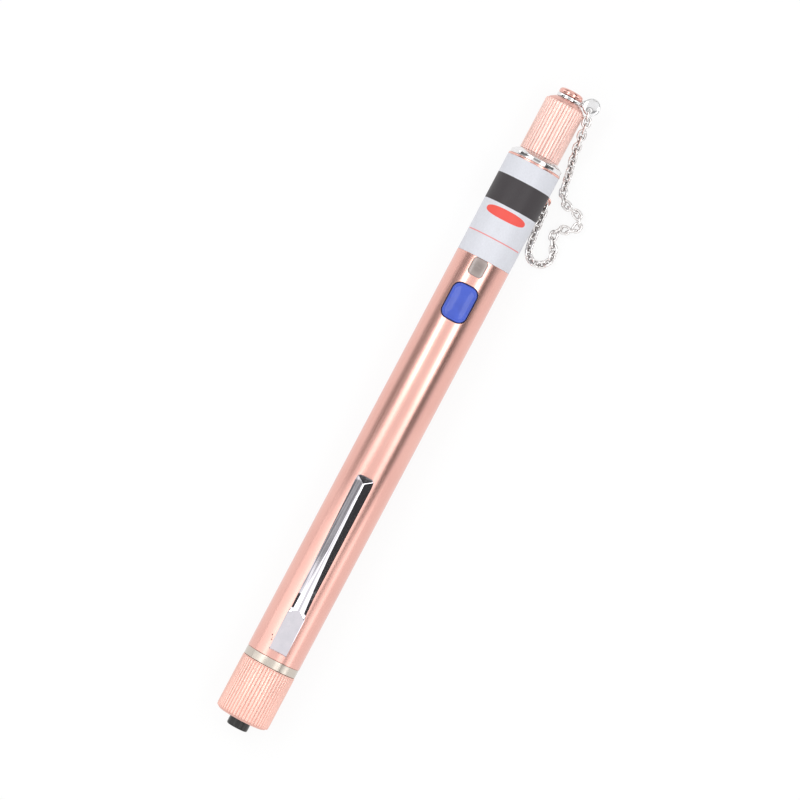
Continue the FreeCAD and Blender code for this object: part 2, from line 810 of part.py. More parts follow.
HOUSING_NOSE = f"({ADAPTER_REAR} + Sizes.adapter_rear_depth - Sizes.face_gap)"
LENS_SEAT = f"({HOUSING_NOSE} - Sizes.lens_setback - Sizes.lens_thickness)"
LENS_EDGE = "(Sizes.lens_thickness - Sizes.lens_bulge)"
RETAINER_REAR = (
    f"({LENS_SEAT} + {LENS_EDGE} + Sizes.lens_bulge * {LENS_PROFILE[0][0]}"
    " + 2 * Sizes.face_gap)"
)
DIODE_FRONT = f"({LENS_SEAT} - Sizes.aperture_length)"


def make_focusing_lens():
    """Turn the lens, flat towards the laser diode and bulged towards the port."""
    body = new_body("focusing_lens", f"({LENS_SEAT} + Sizes.face_gap)")
    radius = "Sizes.lens_diameter / 2"
    bulge = [
        (f"({LENS_EDGE} + Sizes.lens_bulge * {along})", f"{radius} * {out}")
        for along, out in LENS_PROFILE
    ]
    revolve(body, [("0", "0"), ("0", radius), (LENS_EDGE, radius), *bulge, ("Sizes.lens_thickness", "0")])
    return body


def make_lens_retainer():
    """Turn the ring that holds the lens in the housing's nose and lets its bulge stand in its bore."""
    body = new_body("lens_retainer", RETAINER_REAR)
    outer = "Sizes.lens_diameter / 2"
    bore = "Sizes.retainer_bore / 2"
    length = f"({HOUSING_NOSE} - {RETAINER_REAR})"
    revolve(body, [("0", bore), ("0", outer), (length, outer), (length, bore)])
    return body


def make_laser_diode():
    """Turn the diode's can and flange, and give it three pins towards the board."""
    body = new_body("laser_diode", f"({DIODE_FRONT} - Sizes.diode_can_length)")
    revolve(
        body,
        [
            ("-Sizes.diode_flange_thickness", "0"),
            ("-Sizes.diode_flange_thickness", "Sizes.diode_flange_diameter / 2"),
            ("0", "Sizes.diode_flange_diameter / 2"),
            ("0", "Sizes.diode_can_diameter / 2"),
            ("Sizes.diode_can_length - Sizes.face_gap", "Sizes.diode_can_diameter / 2"),
            ("Sizes.diode_can_length - Sizes.face_gap", "Sizes.diode_window / 2"),
            ("Sizes.diode_can_length - Sizes.diode_window_depth", "Sizes.diode_window / 2"),
            ("Sizes.diode_can_length - Sizes.diode_window_depth", "0"),
        ],
    )
    flange_rear = f"({DIODE_FRONT} - Sizes.diode_can_length - Sizes.diode_flange_thickness)"
    pin_length = f"({flange_rear} - {BOARD_FRONT} + Sizes.diode_pin_lap)"
    for index, angle in enumerate(PIN_ANGLES):
        pin = body.newObject("PartDesign::AdditiveCylinder", f"Pin{index + 1}")
        pin.setExpression("Radius", "Sizes.diode_pin_diameter / 2")
        pin.setExpression("Height", pin_length)
        set_solid_place(
            pin,
            (
                f"-Sizes.diode_flange_thickness - {pin_length}",
                f"Sizes.diode_pin_circle / 2 * {math.cos(math.radians(angle)):.4f}",
                f"Sizes.diode_pin_circle / 2 * {math.sin(math.radians(angle)):.4f}",
            ),
            ((0, 1, 0), "90"),
        )
    return body


# Electronics


BOARD_BASE = "(Sizes.board_top - Sizes.board_thickness)"


def make_circuit_board():
    """Lay the long narrow board that carries the lamp, the switch and the driver."""
    body = new_body("circuit_board", BOARD_REAR)
    outline = new_sketch(body, "BoardOutline", "XY_Plane", height=BOARD_BASE)
    half = f"{BOARD_WIDTH} / 2"
    tongue = "Sizes.board_tongue_width / 2"
    step = f"({BOARD_LENGTH} - Sizes.board_tongue_length)"
    draw_outline(
        outline,
        [
            ("0", f"-{half}"),
            (step, f"-{half}"),
            (step, f"-{tongue}"),
            (BOARD_LENGTH, f"-{tongue}"),
            (BOARD_LENGTH, tongue),
            (step, tongue),
            (step, half),
            ("0", half),
        ],
    )
    pad(body, outline, "Sizes.board_thickness", "Board")
    return body


def make_board_cradle():
    """Pad the plastic cradle: a trough under the board and a wall towards the cells."""
    body = new_body("board_cradle", f"({BAY_END} + Sizes.contact_thickness)")
    radius = f"({BORE_RADIUS} - Sizes.seat_gap)"
    revolve(
        body,
        [
            ("0", "0"),
            ("0", radius),
            (f"Sizes.cradle_wall + {BOARD_LENGTH}", radius),
            (f"Sizes.cradle_wall + {BOARD_LENGTH}", "0"),
        ],
        "Blank",
    )
    cut_box(
        body,
        BOARD_LENGTH,
        TUBE_DIAMETER,
        TUBE_DIAMETER,
        ("Sizes.cradle_wall", f"-{TUBE_RADIUS}", BOARD_BASE),
        "BoardRoom",
    )
    cut_box(
        body,
        BOARD_LENGTH,
        "Sizes.cradle_trough",
        f"{BORE_RADIUS} - Sizes.cradle_wall",
        (
            "Sizes.cradle_wall",
            "-Sizes.cradle_trough / 2",
            f"-({BORE_RADIUS} - Sizes.cradle_wall)",
        ),
        "Trough",
    )
    return body


def make_front_contact():
    """Cut the flat contact that the front cell's nub presses on."""
    body = new_body("front_contact", BAY_END)
    revolve(
        body,
        [
            ("Sizes.face_gap", "0"),
            ("Sizes.face_gap", "Sizes.contact_diameter / 2"),
            ("Sizes.contact_thickness", "Sizes.contact_diameter / 2"),
            ("Sizes.contact_thickness", "0"),
        ],
    )
    return body


def make_mode_switch():
    """Box the small switch under the side button, with a round well for its plunger."""
    body = new_body("mode_switch", BUTTON_STATION)
    side = "Sizes.switch_width"
    add_box(
        body,
        side,
        side,
        "Sizes.switch_height",
        ("-Sizes.switch_width / 2", "-Sizes.switch_width / 2", "Sizes.board_top"),
        "Case",
    )
    cut_cylinder(
        body,
        "Sizes.plunger_diameter / 2 + Sizes.running_gap",
        "Sizes.plunger_seat + Sizes.button_travel + Sizes.seat_gap",
        ("0", "0", f"{SWITCH_TOP} - Sizes.plunger_seat - Sizes.button_travel - Sizes.seat_gap"),
        ((0, 0, 1), "0"),
        "PlungerWell",
    )
    return body


def make_switch_plunger():
    """Stand the switch's plunger between its well and the side button."""
    body = new_body("switch_plunger", BUTTON_STATION)
    plunger = body.newObject("PartDesign::AdditiveCylinder", "Plunger")
    plunger.setExpression("Radius", "Sizes.plunger_diameter / 2")
    base = f"({SWITCH_TOP} - Sizes.plunger_seat)"
    plunger.setExpression("Height", f"{BUTTON_FLANGE_BASE} - {base}")
    plunger.setExpression(".Placement.Base.z", base)
    doc.recompute()
    return body


def make_indicator_led():
    """Box the lamp that lights the window."""
    body = new_body("indicator_led", WINDOW_STATION)
    lamp = add_box(
        body,
        "Sizes.lamp_length",
        "Sizes.lamp_width",
        "Sizes.lamp_height",
        ("-Sizes.lamp_length / 2", "-Sizes.lamp_width / 2", "Sizes.board_top"),
        "Lamp",
    )
    top = [
        f"Edge{index}"
        for index, edge in enumerate(lamp.Shape.Edges, start=1)
        if abs(edge.BoundBox.ZMin - size("Sizes.board_top + Sizes.lamp_height")) < TOLERANCE
    ]
    bevel = body.newObject("PartDesign::Chamfer", "TopBevel")
    bevel.Base = (lamp, top)
    bevel.setExpression("Size", "Sizes.lamp_bevel")
    doc.recompute()
    return body


def make_driver_chip():
    """Box the laser driver chip at the front of the board."""
    body = new_body("driver_chip", CHIP_STATION)
    add_box(
        body,
        "Sizes.chip_length",
        "Sizes.chip_width",
        "Sizes.chip_height",
        ("-Sizes.chip_length / 2", "-Sizes.chip_width / 2", "Sizes.board_top"),
        "Chip",
    )
    return body


def make_cell(label, rear):
    """Turn one cell with its nub towards the head, lying on the bottom of the bore."""
    body = new_body(label, rear)
    body.setExpression(
        ".Placement.Base.z",
        "-Sizes.tail_ring_clearance + Sizes.seat_gap",
    )
    can = "(Sizes.cell_length - Sizes.cell_nub_length)"
    turned = revolve(
        body,
        [
            ("0", "0"),
            ("0", "Sizes.cell_diameter / 2"),
            (can, "Sizes.cell_diameter / 2"),
            (can, "Sizes.cell_nub_diameter / 2"),
            ("Sizes.cell_length", "Sizes.cell_nub_diameter / 2"),
            ("Sizes.cell_length", "0"),
        ],
    )
    rear_edge = round_edge(
        body, turned, "0", "Sizes.cell_diameter / 2", "Sizes.cell_edge", "RearEdge"
    )
    round_edge(body, rear_edge, can, "Sizes.cell_diameter / 2", "Sizes.cell_edge", "FrontEdge")
    return body


# Tail


def make_tail_ring():
    """Turn the joint ring: a spigot in the tube, the band that shows and the screwed neck."""
    body = new_body("tail_ring", f"({TAIL_CAP_FRONT} - Sizes.tail_thread_length)")
    neck = "Sizes.tail_thread_length"
    band_end = f"({neck} + Sizes.tail_ring_width)"
    spigot_end = f"({band_end} + Sizes.joint_depth - Sizes.running_gap)"
    band = f"({TUBE_RADIUS} - Sizes.tail_ring_step)"
    spigot = f"({JOINT_RADIUS} - Sizes.seat_gap)"
    bore = TAIL_RING_BORE_RADIUS
    turned = revolve(
        body,
        [
            ("0", bore),
            ("0", TAIL_THREAD_RADIUS),
            (neck, TAIL_THREAD_RADIUS),
            (neck, band),
            (band_end, band),
            (band_end, spigot),
            (spigot_end, spigot),
            (spigot_end, bore),
        ],
    )
    first = round_edge(body, turned, neck, band, "Sizes.seam_bevel", "RearSeam", "Chamfer")
    round_edge(body, first, band_end, band, "Sizes.seam_bevel", "FrontSeam", "Chamfer")
    return body


def make_tail_cap():
    """Turn the tail cap with its screwed bore, switch seat and button hole, and cut its ribs."""
    body = new_body("tail_cap", TAIL_CAP_REAR)
    front = "(Sizes.tail_cap_length - Sizes.face_gap)"
    seat = "(Sizes.tail_cap_length - Sizes.tail_cap_thread_depth)"
    shoulder = f"({seat} - Sizes.retainer_thickness - Sizes.switch_body_length)"
    end_wall = f"({shoulder} - Sizes.chamber_length)"
    outer = TUBE_RADIUS
    thread = f"({TAIL_THREAD_RADIUS} + Sizes.running_gap)"
    turned = revolve(
        body,
        [
            ("0", "Sizes.tail_button_diameter / 2 + Sizes.running_gap"),
            ("0", outer),
            (front, outer),
            (front, thread),
            (seat, thread),
            (seat, "Sizes.retainer_seat_diameter / 2"),
            (shoulder, "Sizes.retainer_seat_diameter / 2"),
            (shoulder, "Sizes.chamber_diameter / 2"),
            (end_wall, "Sizes.chamber_diameter / 2"),
            (end_wall, "Sizes.tail_button_diameter / 2 + Sizes.running_gap"),
        ],
    )
    round_edge(body, turned, "0", outer, "Sizes.tail_cap_edge_radius", "RearRound")
    cut_ribs(
        body,
        outer,
        "Sizes.tail_rib_depth",
        "Sizes.tail_rib_count",
        "Sizes.tail_cap_edge_radius",
        "Sizes.tail_cap_length - Sizes.tail_cap_edge_radius - Sizes.tail_rib_margin",
    )
    return body


def make_switch_retainer():
    """Turn the contact washer that holds the switch and carries the spring."""
    body = new_body("switch_retainer", SWITCH_FRONT)
    outer = "(Sizes.retainer_seat_diameter / 2 - Sizes.seat_gap)"
    revolve(
        body,
        [
            ("0", "Sizes.retainer_hole / 2"),
            ("0", outer),
            ("Sizes.retainer_thickness", outer),
            ("Sizes.retainer_thickness", "Sizes.retainer_hole / 2"),
        ],
    )
    return body


def make_tail_switch():
    """Turn the switch's case with a well for its plunger at the rear."""
    body = new_body("tail_switch", SWITCH_REAR)
    outer = "(Sizes.retainer_seat_diameter / 2 - Sizes.seat_gap)"
    well = "(Sizes.tail_plunger_diameter / 2 + Sizes.running_gap)"
    revolve(
        body,
        [
            ("0", well),
            ("0", outer),
            ("Sizes.switch_body_length", outer),
            ("Sizes.switch_body_length", "0"),
            ("Sizes.switch_bore_depth", "0"),
            ("Sizes.switch_bore_depth", well),
        ],
    )
    return body


BUTTON_FLANGE_FRONT = f"({CHAMBER_REAR} + Sizes.face_gap + Sizes.tail_button_flange_thickness)"


def make_tail_button():
    """Turn the black button with the flange that keeps it in the cap."""
    length = f"({BUTTON_FLANGE_FRONT} - {TAIL_CAP_REAR} + Sizes.tail_button_rise)"
    body = new_body("tail_button", f"({TAIL_CAP_REAR} - Sizes.tail_button_rise)")
    flange_rear = f"({length} - Sizes.tail_button_flange_thickness)"
    stem = "Sizes.tail_button_diameter / 2"
    turned = revolve(
        body,
        [
            ("0", "0"),
            ("0", stem),
            (flange_rear, stem),
            (flange_rear, "Sizes.tail_button_flange_diameter / 2"),
            (length, "Sizes.tail_button_flange_diameter / 2"),
            (length, "0"),
        ],
    )
    round_edge(body, turned, "0", stem, "Sizes.tail_button_edge", "PressEdge")
    return body


def make_tail_switch_plunger():
    """Turn the plunger between the tail switch and its button."""
    body = new_body("tail_switch_plunger", BUTTON_FLANGE_FRONT)
    length = f"({SWITCH_REAR} + Sizes.tail_plunger_seat - {BUTTON_FLANGE_FRONT})"
    radius = "Sizes.tail_plunger_diameter / 2"
    revolve(body, [("0", "0"), ("0", radius), (length, radius), (length, "0")])
    return body


def make_battery_spring():
    """Wind the spring between the switch's washer and the rear cell."""
    body = new_body("battery_spring", SEAT_FRONT)
    wire = "Sizes.spring_wire"
    coil = "(Sizes.spring_diameter / 2 - Sizes.spring_wire / 2)"
    section = new_sketch(body, "WireSection", "XY_Plane")
    corners = []
    for index in range(SPRING_SIDES):
        angle = 2 * math.pi * index / SPRING_SIDES
        corners.append(
            (
                f"({wire} / 2 * (1 + {math.cos(angle):.5f}) + Sizes.face_gap)",
                f"({coil} + {wire} / 2 * {math.sin(angle):.5f})",
            )
        )
    draw_outline(section, corners)
    coil_feature = body.newObject("PartDesign::AdditiveHelix", "Coil")
    coil_feature.Profile = section
    coil_feature.ReferenceAxis = (section, ["H_Axis"])
    coil_feature.Mode = "height-turns-angle"
    free = f"({CELLS_END} - {SEAT_FRONT} - Sizes.spring_wire - 2 * Sizes.face_gap)"
    coil_feature.setExpression("Height", free)
    coil_feature.setExpression("Turns", "Sizes.spring_turns")
    doc.recompute()
    return body


# Dust cap, rivet and swivel ring


def make_dust_cap():
    """Turn the dust cap with its sloped shoulder and blind bore, and cut its ribs."""
    body = new_body("dust_cap", CAP_RIM)
    length = f"(Sizes.cap_top_station - {CAP_RIM})"
    shoulder = f"({length} - Sizes.cap_shoulder_length)"
    bore_end = f"({length} - Sizes.cap_end_wall)"
    outer = "Sizes.cap_diameter / 2"
    top = "Sizes.cap_top_diameter / 2"
    hole = "(Sizes.rivet_shank_diameter / 2 + Sizes.seat_gap)"
    revolve(
        body,
        [
            ("0", "Sizes.cap_bore / 2"),
            ("0", outer),
            (shoulder, outer),
            (f"({shoulder} + Sizes.cap_brow_length)", "Sizes.cap_brow_diameter / 2"),
            (length, top),
            (length, hole),
            (bore_end, hole),
            (bore_end, "Sizes.cap_bore / 2"),
        ],
    )
    cut_ribs(
        body,
        outer,
        "Sizes.cap_rib_depth",
        "Sizes.cap_rib_count",
        "Sizes.cap_rib_margin",
        f"{shoulder} - Sizes.cap_rib_margin + Sizes.cap_rib_run_out",
    )
    return body


def make_cap_liner():
    """Turn the soft cup inside the dust cap that grips the port's nose."""
    body = new_body("cap_liner", f"({CAP_RIM} + Sizes.liner_short)")
    outer = "(Sizes.cap_bore / 2 - Sizes.seat_gap)"
    inner = "(Sizes.nose_diameter / 2 + Sizes.seat_gap)"
    bore_end = f"(Sizes.cap_top_station - Sizes.cap_end_wall - {CAP_RIM} - Sizes.liner_short)"
    end = f"({bore_end} - Sizes.rivet_tail_thickness - Sizes.seat_gap)"
    inside = f"({end} - Sizes.liner_end)"
    revolve(
        body,
        [
            ("0", inner),
            ("0", outer),
            (end, outer),
            (end, "0"),
            (inside, "0"),
            (inside, inner),
        ],
    )
    return body


def make_cap_rivet():
    """Turn the rivet: round head, neck for the swivel ring, shank and upset tail inside the cap."""
    bore_end = "(Sizes.cap_top_station - Sizes.cap_end_wall)"
    body = new_body("cap_rivet", f"({bore_end} - Sizes.rivet_tail_thickness)")
    tail_end = "(Sizes.rivet_tail_thickness - Sizes.face_gap)"
    shank_end = "(Sizes.rivet_tail_thickness + Sizes.cap_end_wall + Sizes.face_gap)"
    neck_end = "(Sizes.rivet_tail_thickness + Sizes.cap_end_wall + Sizes.rivet_neck_length)"
    head_end = f"({neck_end} + Sizes.rivet_head_thickness)"
    head = "Sizes.rivet_head_diameter / 2"
    turned = revolve(
        body,
        [
            ("0", "0"),
            ("0", "Sizes.rivet_tail_diameter / 2"),
            (tail_end, "Sizes.rivet_tail_diameter / 2"),
            (tail_end, "Sizes.rivet_shank_diameter / 2"),
            (shank_end, "Sizes.rivet_shank_diameter / 2"),
            (shank_end, "Sizes.rivet_neck_diameter / 2"),
            (neck_end, "Sizes.rivet_neck_diameter / 2"),
            (neck_end, head),
            (head_end, head),
            (head_end, "0"),
        ],
    )
    crown = round_edge(body, turned, head_end, head, "Sizes.rivet_head_round", "HeadRound")
    round_edge(body, crown, neck_end, head, "Sizes.rivet_head_round / 2", "HeadUnder")
    return body


def make_swivel_ring():
    """Build the washer round the rivet's neck, with a lug twisted flat for the chain's first link."""
    body = new_body("swivel_ring", RING_STATION)
    half = "(Sizes.ring_thickness / 2)"
    bore = "(Sizes.rivet_neck_diameter / 2 + Sizes.running_gap)"
    revolve(
        body,
        [
            (f"-{half}", bore),
            (f"-{half}", "Sizes.ring_diameter / 2"),
            (half, "Sizes.ring_diameter / 2"),
            (half, bore),
        ],
        "Washer",
    )
    near = "(Sizes.ring_diameter / 2 - Sizes.lug_neck_bite)"
    far = "(Sizes.lug_reach - Sizes.lug_diameter / 2 + Sizes.lug_neck_bite)"
    sections = []
    for step in range(TWIST_STEPS + 1):
        share = step / TWIST_STEPS
        section = new_sketch(body, f"NeckSection{step}", "XZ_Plane")
        section.AttachmentOffset = App.Placement(
            App.Vector(), App.Rotation(App.Vector(0, 0, 1), 90 * (1 - share))
        )
        section.setExpression(".AttachmentOffset.Base.z", f"{near} + ({far} - {near}) * {share}")
        section.setExpression(".AttachmentOffset.Base.x", f"Sizes.lug_forward * {share ** NECK_LEAN:.4f}")
        across, through = "Sizes.lug_neck_width / 2", "Sizes.lug_neck_thickness / 2"
        draw_outline(
            section,
            [
                (f"-{across}", f"-{through}"),
                (across, f"-{through}"),
                (across, through),
                (f"-{across}", through),
            ],
        )
        sections.append(section)
    neck = body.newObject("PartDesign::AdditiveLoft", "TwistedNeck")
    neck.Profile = sections[0]
    neck.Sections = sections[1:]
    neck.Ruled = False
    doc.recompute()
    plate = body.newObject("PartDesign::AdditiveCylinder", "Lug")
    plate.setExpression("Radius", "Sizes.lug_diameter / 2")
    plate.setExpression("Height", "Sizes.ring_thickness")
    set_solid_place(
        plate, ("Sizes.lug_forward", "-Sizes.lug_reach", f"-{half}"), ((0, 0, 1), "0")
    )
    cut_cylinder(
        body,
        "Sizes.lug_hole_diameter / 2",
        "Sizes.ring_thickness * 2",
        ("Sizes.lug_forward - Sizes.lug_hole_back", "-Sizes.lug_reach", "-Sizes.ring_thickness"),
        ((0, 0, 1), "0"),
        "LinkHole",
    )
    return body


# Pocket clip


# What one fold of the clip is described by, in the order that a section takes it.
FOLD_PARTS = ("station", "flat", "shoulder", "width", "rise", "shoulder_drop", "side_drop")
CLIP_FOLDS = ("neck", "hip", "brow", "toe")
ARCH_STEPS = 4
ARCH_POWER = 1.5
HOLLOW_SHARE = 0.8


def clip_fold(fold):
    """Give the sheet's sizes of one fold of the clip."""
    return [f"Sizes.clip_{fold}_{part}" for part in FOLD_PARTS]


def arch_fold(pad, share):
    """Give a fold of the pointed arch, a share of the way from the pad's front to the arch's tip."""
    blended = []
    for part, first, last in zip(FOLD_PARTS, pad, clip_fold("arch")):
        reach = share**ARCH_POWER if part == "flat" else share
        blended.append(f"({first} + ({last} - {first}) * {reach:.3f})")
    return blended


def clip_section(body, name, fold, wall):
    """Draw one section of the clip: a flat or ridge, two slopes on each side and a hollow underside.

    The strip sits a little askew on the tube: its pad is off towards the chain's side and its toe is not.
    """
    along, flat, shoulder, width, rise, shoulder_drop, side_drop = fold
    section = new_sketch(body, name, "YZ_Plane", height=along)
    top = f"({TUBE_RADIUS} + {rise})"
    bend, side = f"({top} - {shoulder_drop})", f"({top} - {side_drop})"
    foot = f"({side} - {wall})"
    hollow = f"({top} - Sizes.clip_thickness)"
    run = "(Sizes.clip_toe_station - Sizes.clip_pad_end)"
    middle = f"(-Sizes.clip_pad_shift * (Sizes.clip_toe_station - {along}) / {run})"
    half = [
        (f"{width} / 2", foot),
        (f"{width} / 2", side),
        (f"{shoulder} / 2", bend),
        (f"{flat} / 2", top),
    ]
    left = [(f"{middle} - {across}", up) for across, up in half]
    right = [(f"{middle} + {across}", up) for across, up in reversed(half)]
    hollow_half = f"{flat} / 2 * {HOLLOW_SHARE}"
    under = [(f"{middle} + {hollow_half}", hollow), (f"{middle} - {hollow_half}", hollow)]
    draw_outline(section, left + right + under)
    return section


def make_pocket_clip():
    """Loft the clip from its flat pad over the pointed arch and the neck to the ridged arm and its toe."""
    body = new_body("pocket_clip", TUBE_REAR)
    crown = TUBE_RADIUS
    pad = [
        "Sizes.clip_pad_end",
        "(Sizes.clip_pad_width - 2 * Sizes.clip_pad_bevel)",
        "(Sizes.clip_pad_width - Sizes.clip_pad_bevel)",
        "Sizes.clip_pad_width",
        "Sizes.clip_pad_height",
        "(Sizes.clip_pad_bevel / 2)",
        "Sizes.clip_pad_bevel",
    ]
    pad_front = ["Sizes.clip_pad_front", *pad[1:]]
    sections = [
        clip_section(body, "PadEnd", pad, "Sizes.clip_pad_wall"),
        clip_section(body, "PadFront", pad_front, "Sizes.clip_pad_wall"),
    ]
    for step in range(1, ARCH_STEPS + 1):
        fold = arch_fold(pad_front, step / ARCH_STEPS)
        sections.append(clip_section(body, f"Arch{step}", fold, "Sizes.clip_thickness"))
    for name in CLIP_FOLDS:
        sections.append(clip_section(body, name.capitalize(), clip_fold(name), "Sizes.clip_thickness"))
    strip = body.newObject("PartDesign::AdditiveLoft", "Strip")
    strip.Profile = sections[0]
    strip.Sections = sections[1:]
    strip.Ruled = True
    doc.recompute()
    cut_cylinder(
        body,
        f"({crown} + Sizes.face_gap)",
        "Sizes.clip_toe_station + Sizes.tool_overrun",
        ("0", "0", "0"),
        ((0, 1, 0), "90"),
        "TubeSeat",
    )
    for index in range(2):
        add_box(
            body,
            "Sizes.clip_tab_length",
            "Sizes.clip_tab_width",
            f"{crown} + Sizes.clip_pad_height / 2 - {BORE_RADIUS}",
            (
                f"Sizes.clip_tab_front - {index} * Sizes.clip_tab_spacing - Sizes.clip_tab_length",
                "-Sizes.clip_tab_width / 2",
                BORE_RADIUS,
            ),
            f"Tab{index + 1}",
        )
    return body


# Chain


def make_chain_anchor():
    """Build the eye on its screwed shank, standing out of the tube's lower side."""
    body = new_body("chain_anchor", f"({TUBE_FRONT} - Sizes.anchor_station)")
    body.Placement.Rotation = App.Rotation(App.Vector(1, 0, 0), size("90 + Sizes.anchor_angle"))
    body.setExpression(".Placement.Rotation.Angle", "90 + Sizes.anchor_angle")
    reach = ANCHOR_REACH
    shank = body.newObject("PartDesign::AdditiveCylinder", "Shank")
    shank.setExpression("Radius", "Sizes.anchor_shank_diameter / 2")
    shank_end = f"({reach} - Sizes.anchor_hole_diameter / 2 - Sizes.seat_gap)"
    shank.setExpression("Height", f"{shank_end} - {BORE_RADIUS}")
    shank.setExpression(".Placement.Base.z", BORE_RADIUS)
    doc.recompute()
    collar = body.newObject("PartDesign::AdditiveCylinder", "Collar")
    collar.setExpression("Radius", "Sizes.anchor_collar_diameter / 2")
    collar.setExpression("Height", "Sizes.anchor_collar_height")
    collar.setExpression(".Placement.Base.z", f"{TUBE_RADIUS} + Sizes.face_gap")
    doc.recompute()
    eye = body.newObject("PartDesign::AdditiveCylinder", "Eye")
    eye.setExpression("Radius", "Sizes.anchor_eye_diameter / 2")
    eye.setExpression("Height", "Sizes.anchor_eye_thickness")
    set_solid_place(eye, ("0", "Sizes.anchor_eye_thickness / 2", reach), ((1, 0, 0), "90"))
    cut_cylinder(
        body,
        "Sizes.anchor_hole_diameter / 2",
        "Sizes.anchor_eye_thickness * 2",
        ("0", "Sizes.anchor_eye_thickness", reach),
        ((1, 0, 0), "90"),
        "EyeHole",
    )
    return body


# Centres of the chain's run, from the lug to the anchor: off the lug, down beside the cap to the
# table, a small side loop, a wide loop back towards the tube and up to the eye.
CHAIN_RUN = [
    (-0.6, -6.7, -0.4),
    (-5.5, -7.2, -2.0),
    (-9.2, -7.7, -3.9),
    (-12.7, -8.4, -5.2),
    (-15.8, -8.9, -5.66),
    (-18.0, -9.8, -5.66),
    (-19.4, -11.5, -5.66),
    (-19.8, -13.6, -5.66),
    (-20.8, -15.6, -5.66),
    (-22.8, -16.3, -5.66),
    (-24.6, -15.2, -5.66),
    (-25.2, -13.2, -5.66),
    (-26.8, -12.1, -5.66),
    (-28.7, -12.5, -5.85),
    (-30.5, -13.6, -5.95),
    (-32.6, -14.2, -6.0),
    (-34.6, -13.4, -6.0),
    (-35.6, -11.5, -6.0),
    (-35.0, -9.4, -6.0),
    (-33.2, -8.3, -5.95),
    (-31.0, -7.9, -5.8),
    (-28.3, -7.6, -5.4),
    (-25.4, -7.4, -4.85),
]
SIDE_LOOP_SHARE = 0.48
SIDE_LOOP_SPREAD = 0.22
# Turn of the links about the run, in degrees, and over how many links each end comes to its own.
SETTLED_ROLL = 45
LUG_ROLL = 90
LUG_ROLL_LINKS = 8
EYE_ROLL_LINKS = 4


def link_solid():
    """Build one oval link about its own origin, long along X and lying in XY, with flat-sided wire."""
    wire = size("Sizes.link_wire") / 2
    bow = size("Sizes.link_width") / 2 - wire
    straight = size("Sizes.link_length") / 2 - wire - bow
    half_step = math.pi / LINK_BOW_STEPS / 2
    rings = []
    for side in (1, -1):
        for step in range(LINK_BOW_STEPS + 1):
            angle = math.pi * step / LINK_BOW_STEPS - math.pi / 2
            on_end = step in (0, LINK_BOW_STEPS)
            turn = half_step / 2 if on_end else half_step
            lean = (angle + (turn if step == 0 else -turn)) if on_end else angle
            out = App.Vector(math.cos(lean), math.sin(lean), 0) * side
            centre = App.Vector(straight + bow * math.cos(angle), bow * math.sin(angle), 0) * side
            rings.append((centre, out * (1 / math.cos(turn))))
    loops = []
    for centre, out in rings:
        loop = []
        for corner in range(LINK_SIDES):
            around = 2 * math.pi * (corner + 0.5) / LINK_SIDES
            rise = App.Vector(0, 0, wire * math.sin(around))
            loop.append(centre + out * (wire * math.cos(around)) + rise)
        loops.append(loop)
    faces = []
    for index, loop in enumerate(loops):
        after = loops[(index + 1) % len(loops)]
        for corner in range(LINK_SIDES):
            beside = (corner + 1) % LINK_SIDES
            quad = [loop[corner], loop[beside], after[beside], after[corner], loop[corner]]
            faces.append(Part.Face(Part.makePolygon(quad)))
    solid = Part.makeSolid(Part.makeShell(faces))
    if solid.Volume < 0:
        solid.reverse()
    return solid


def link_place(centre, along, roll):
    """Give the placement of a link at a point of the run, rolled about the run's direction."""
    side = App.Vector(0, 0, 1).cross(along).normalize()
    up = along.cross(side)
    width = side * math.cos(roll) + up * math.sin(roll)
    normal = along.cross(width)
    frame = App.Matrix(
        along.x, width.x, normal.x, centre.x,
        along.y, width.y, normal.y, centre.y,
        along.z, width.z, normal.z, centre.z,
        0, 0, 0, 1,
    )
    return App.Placement(frame)


def chain_ends():
    """Give the centres of the first link, hung in the lug, and of the last link, in the anchor's eye."""
    reach = (size("Sizes.link_length") - size("Sizes.link_wire")) / 2
    lug = App.Vector(
        size(f"{RING_STATION} + Sizes.lug_forward - Sizes.lug_hole_back"), -size("Sizes.lug_reach"), 0
    )
    angle = math.radians(size("Sizes.anchor_angle"))
    eye = App.Vector(
        size(f"{TUBE_FRONT} - Sizes.anchor_station"),
        -size(ANCHOR_REACH) * math.cos(angle),
        -size(ANCHOR_REACH) * math.sin(angle),
    )
    down = (App.Vector(*CHAIN_RUN[0]) - lug).normalize()
    back = (App.Vector(*CHAIN_RUN[-1]) - eye).normalize()
    return lug + down * reach, eye + back * reach


def make_safety_chain():
    """Set the links along the run, each one turned a quarter against its neighbour."""
    first, last = chain_ends()
    curve = Part.BSplineCurve()
    curve.interpolate([first] + [App.Vector(*point) for point in CHAIN_RUN] + [last])
    run = curve.toShape()
    pitch = size("Sizes.link_length - 2 * Sizes.link_wire - Sizes.link_slack")
    steps = round(run.Length / pitch)
    steps += (steps + 1) % 2
    link = link_solid()
    settled, start = math.radians(SETTLED_ROLL), math.radians(LUG_ROLL)
    end = math.radians(size("Sizes.anchor_angle"))
    links = []
    for index, centre in enumerate(run.discretize(Number=steps + 1)):
        along = curve.tangent(curve.parameter(centre))[0]
        away = abs(index / steps - SIDE_LOOP_SHARE) / SIDE_LOOP_SPREAD
        roll = settled * min(1.0, away * away)
        roll += (start - settled) * max(0.0, 1 - index / LUG_ROLL_LINKS)
        roll += (end - settled) * max(0.0, 1 - (steps - index) / EYE_ROLL_LINKS)
        roll += math.pi / 2 * (index % 2)
        piece = link.copy()
        piece.Placement = link_place(centre, along, roll)
        links.append(piece)
    chain = doc.addObject("Part::Feature", "safety_chain")
    chain.Label = "safety_chain"
    chain.Shape = Part.makeCompound(links)
    print(f"chain: {len(links)} links, pitch {run.Length / steps:.3f}, run {run.Length:.2f}")
    return chain


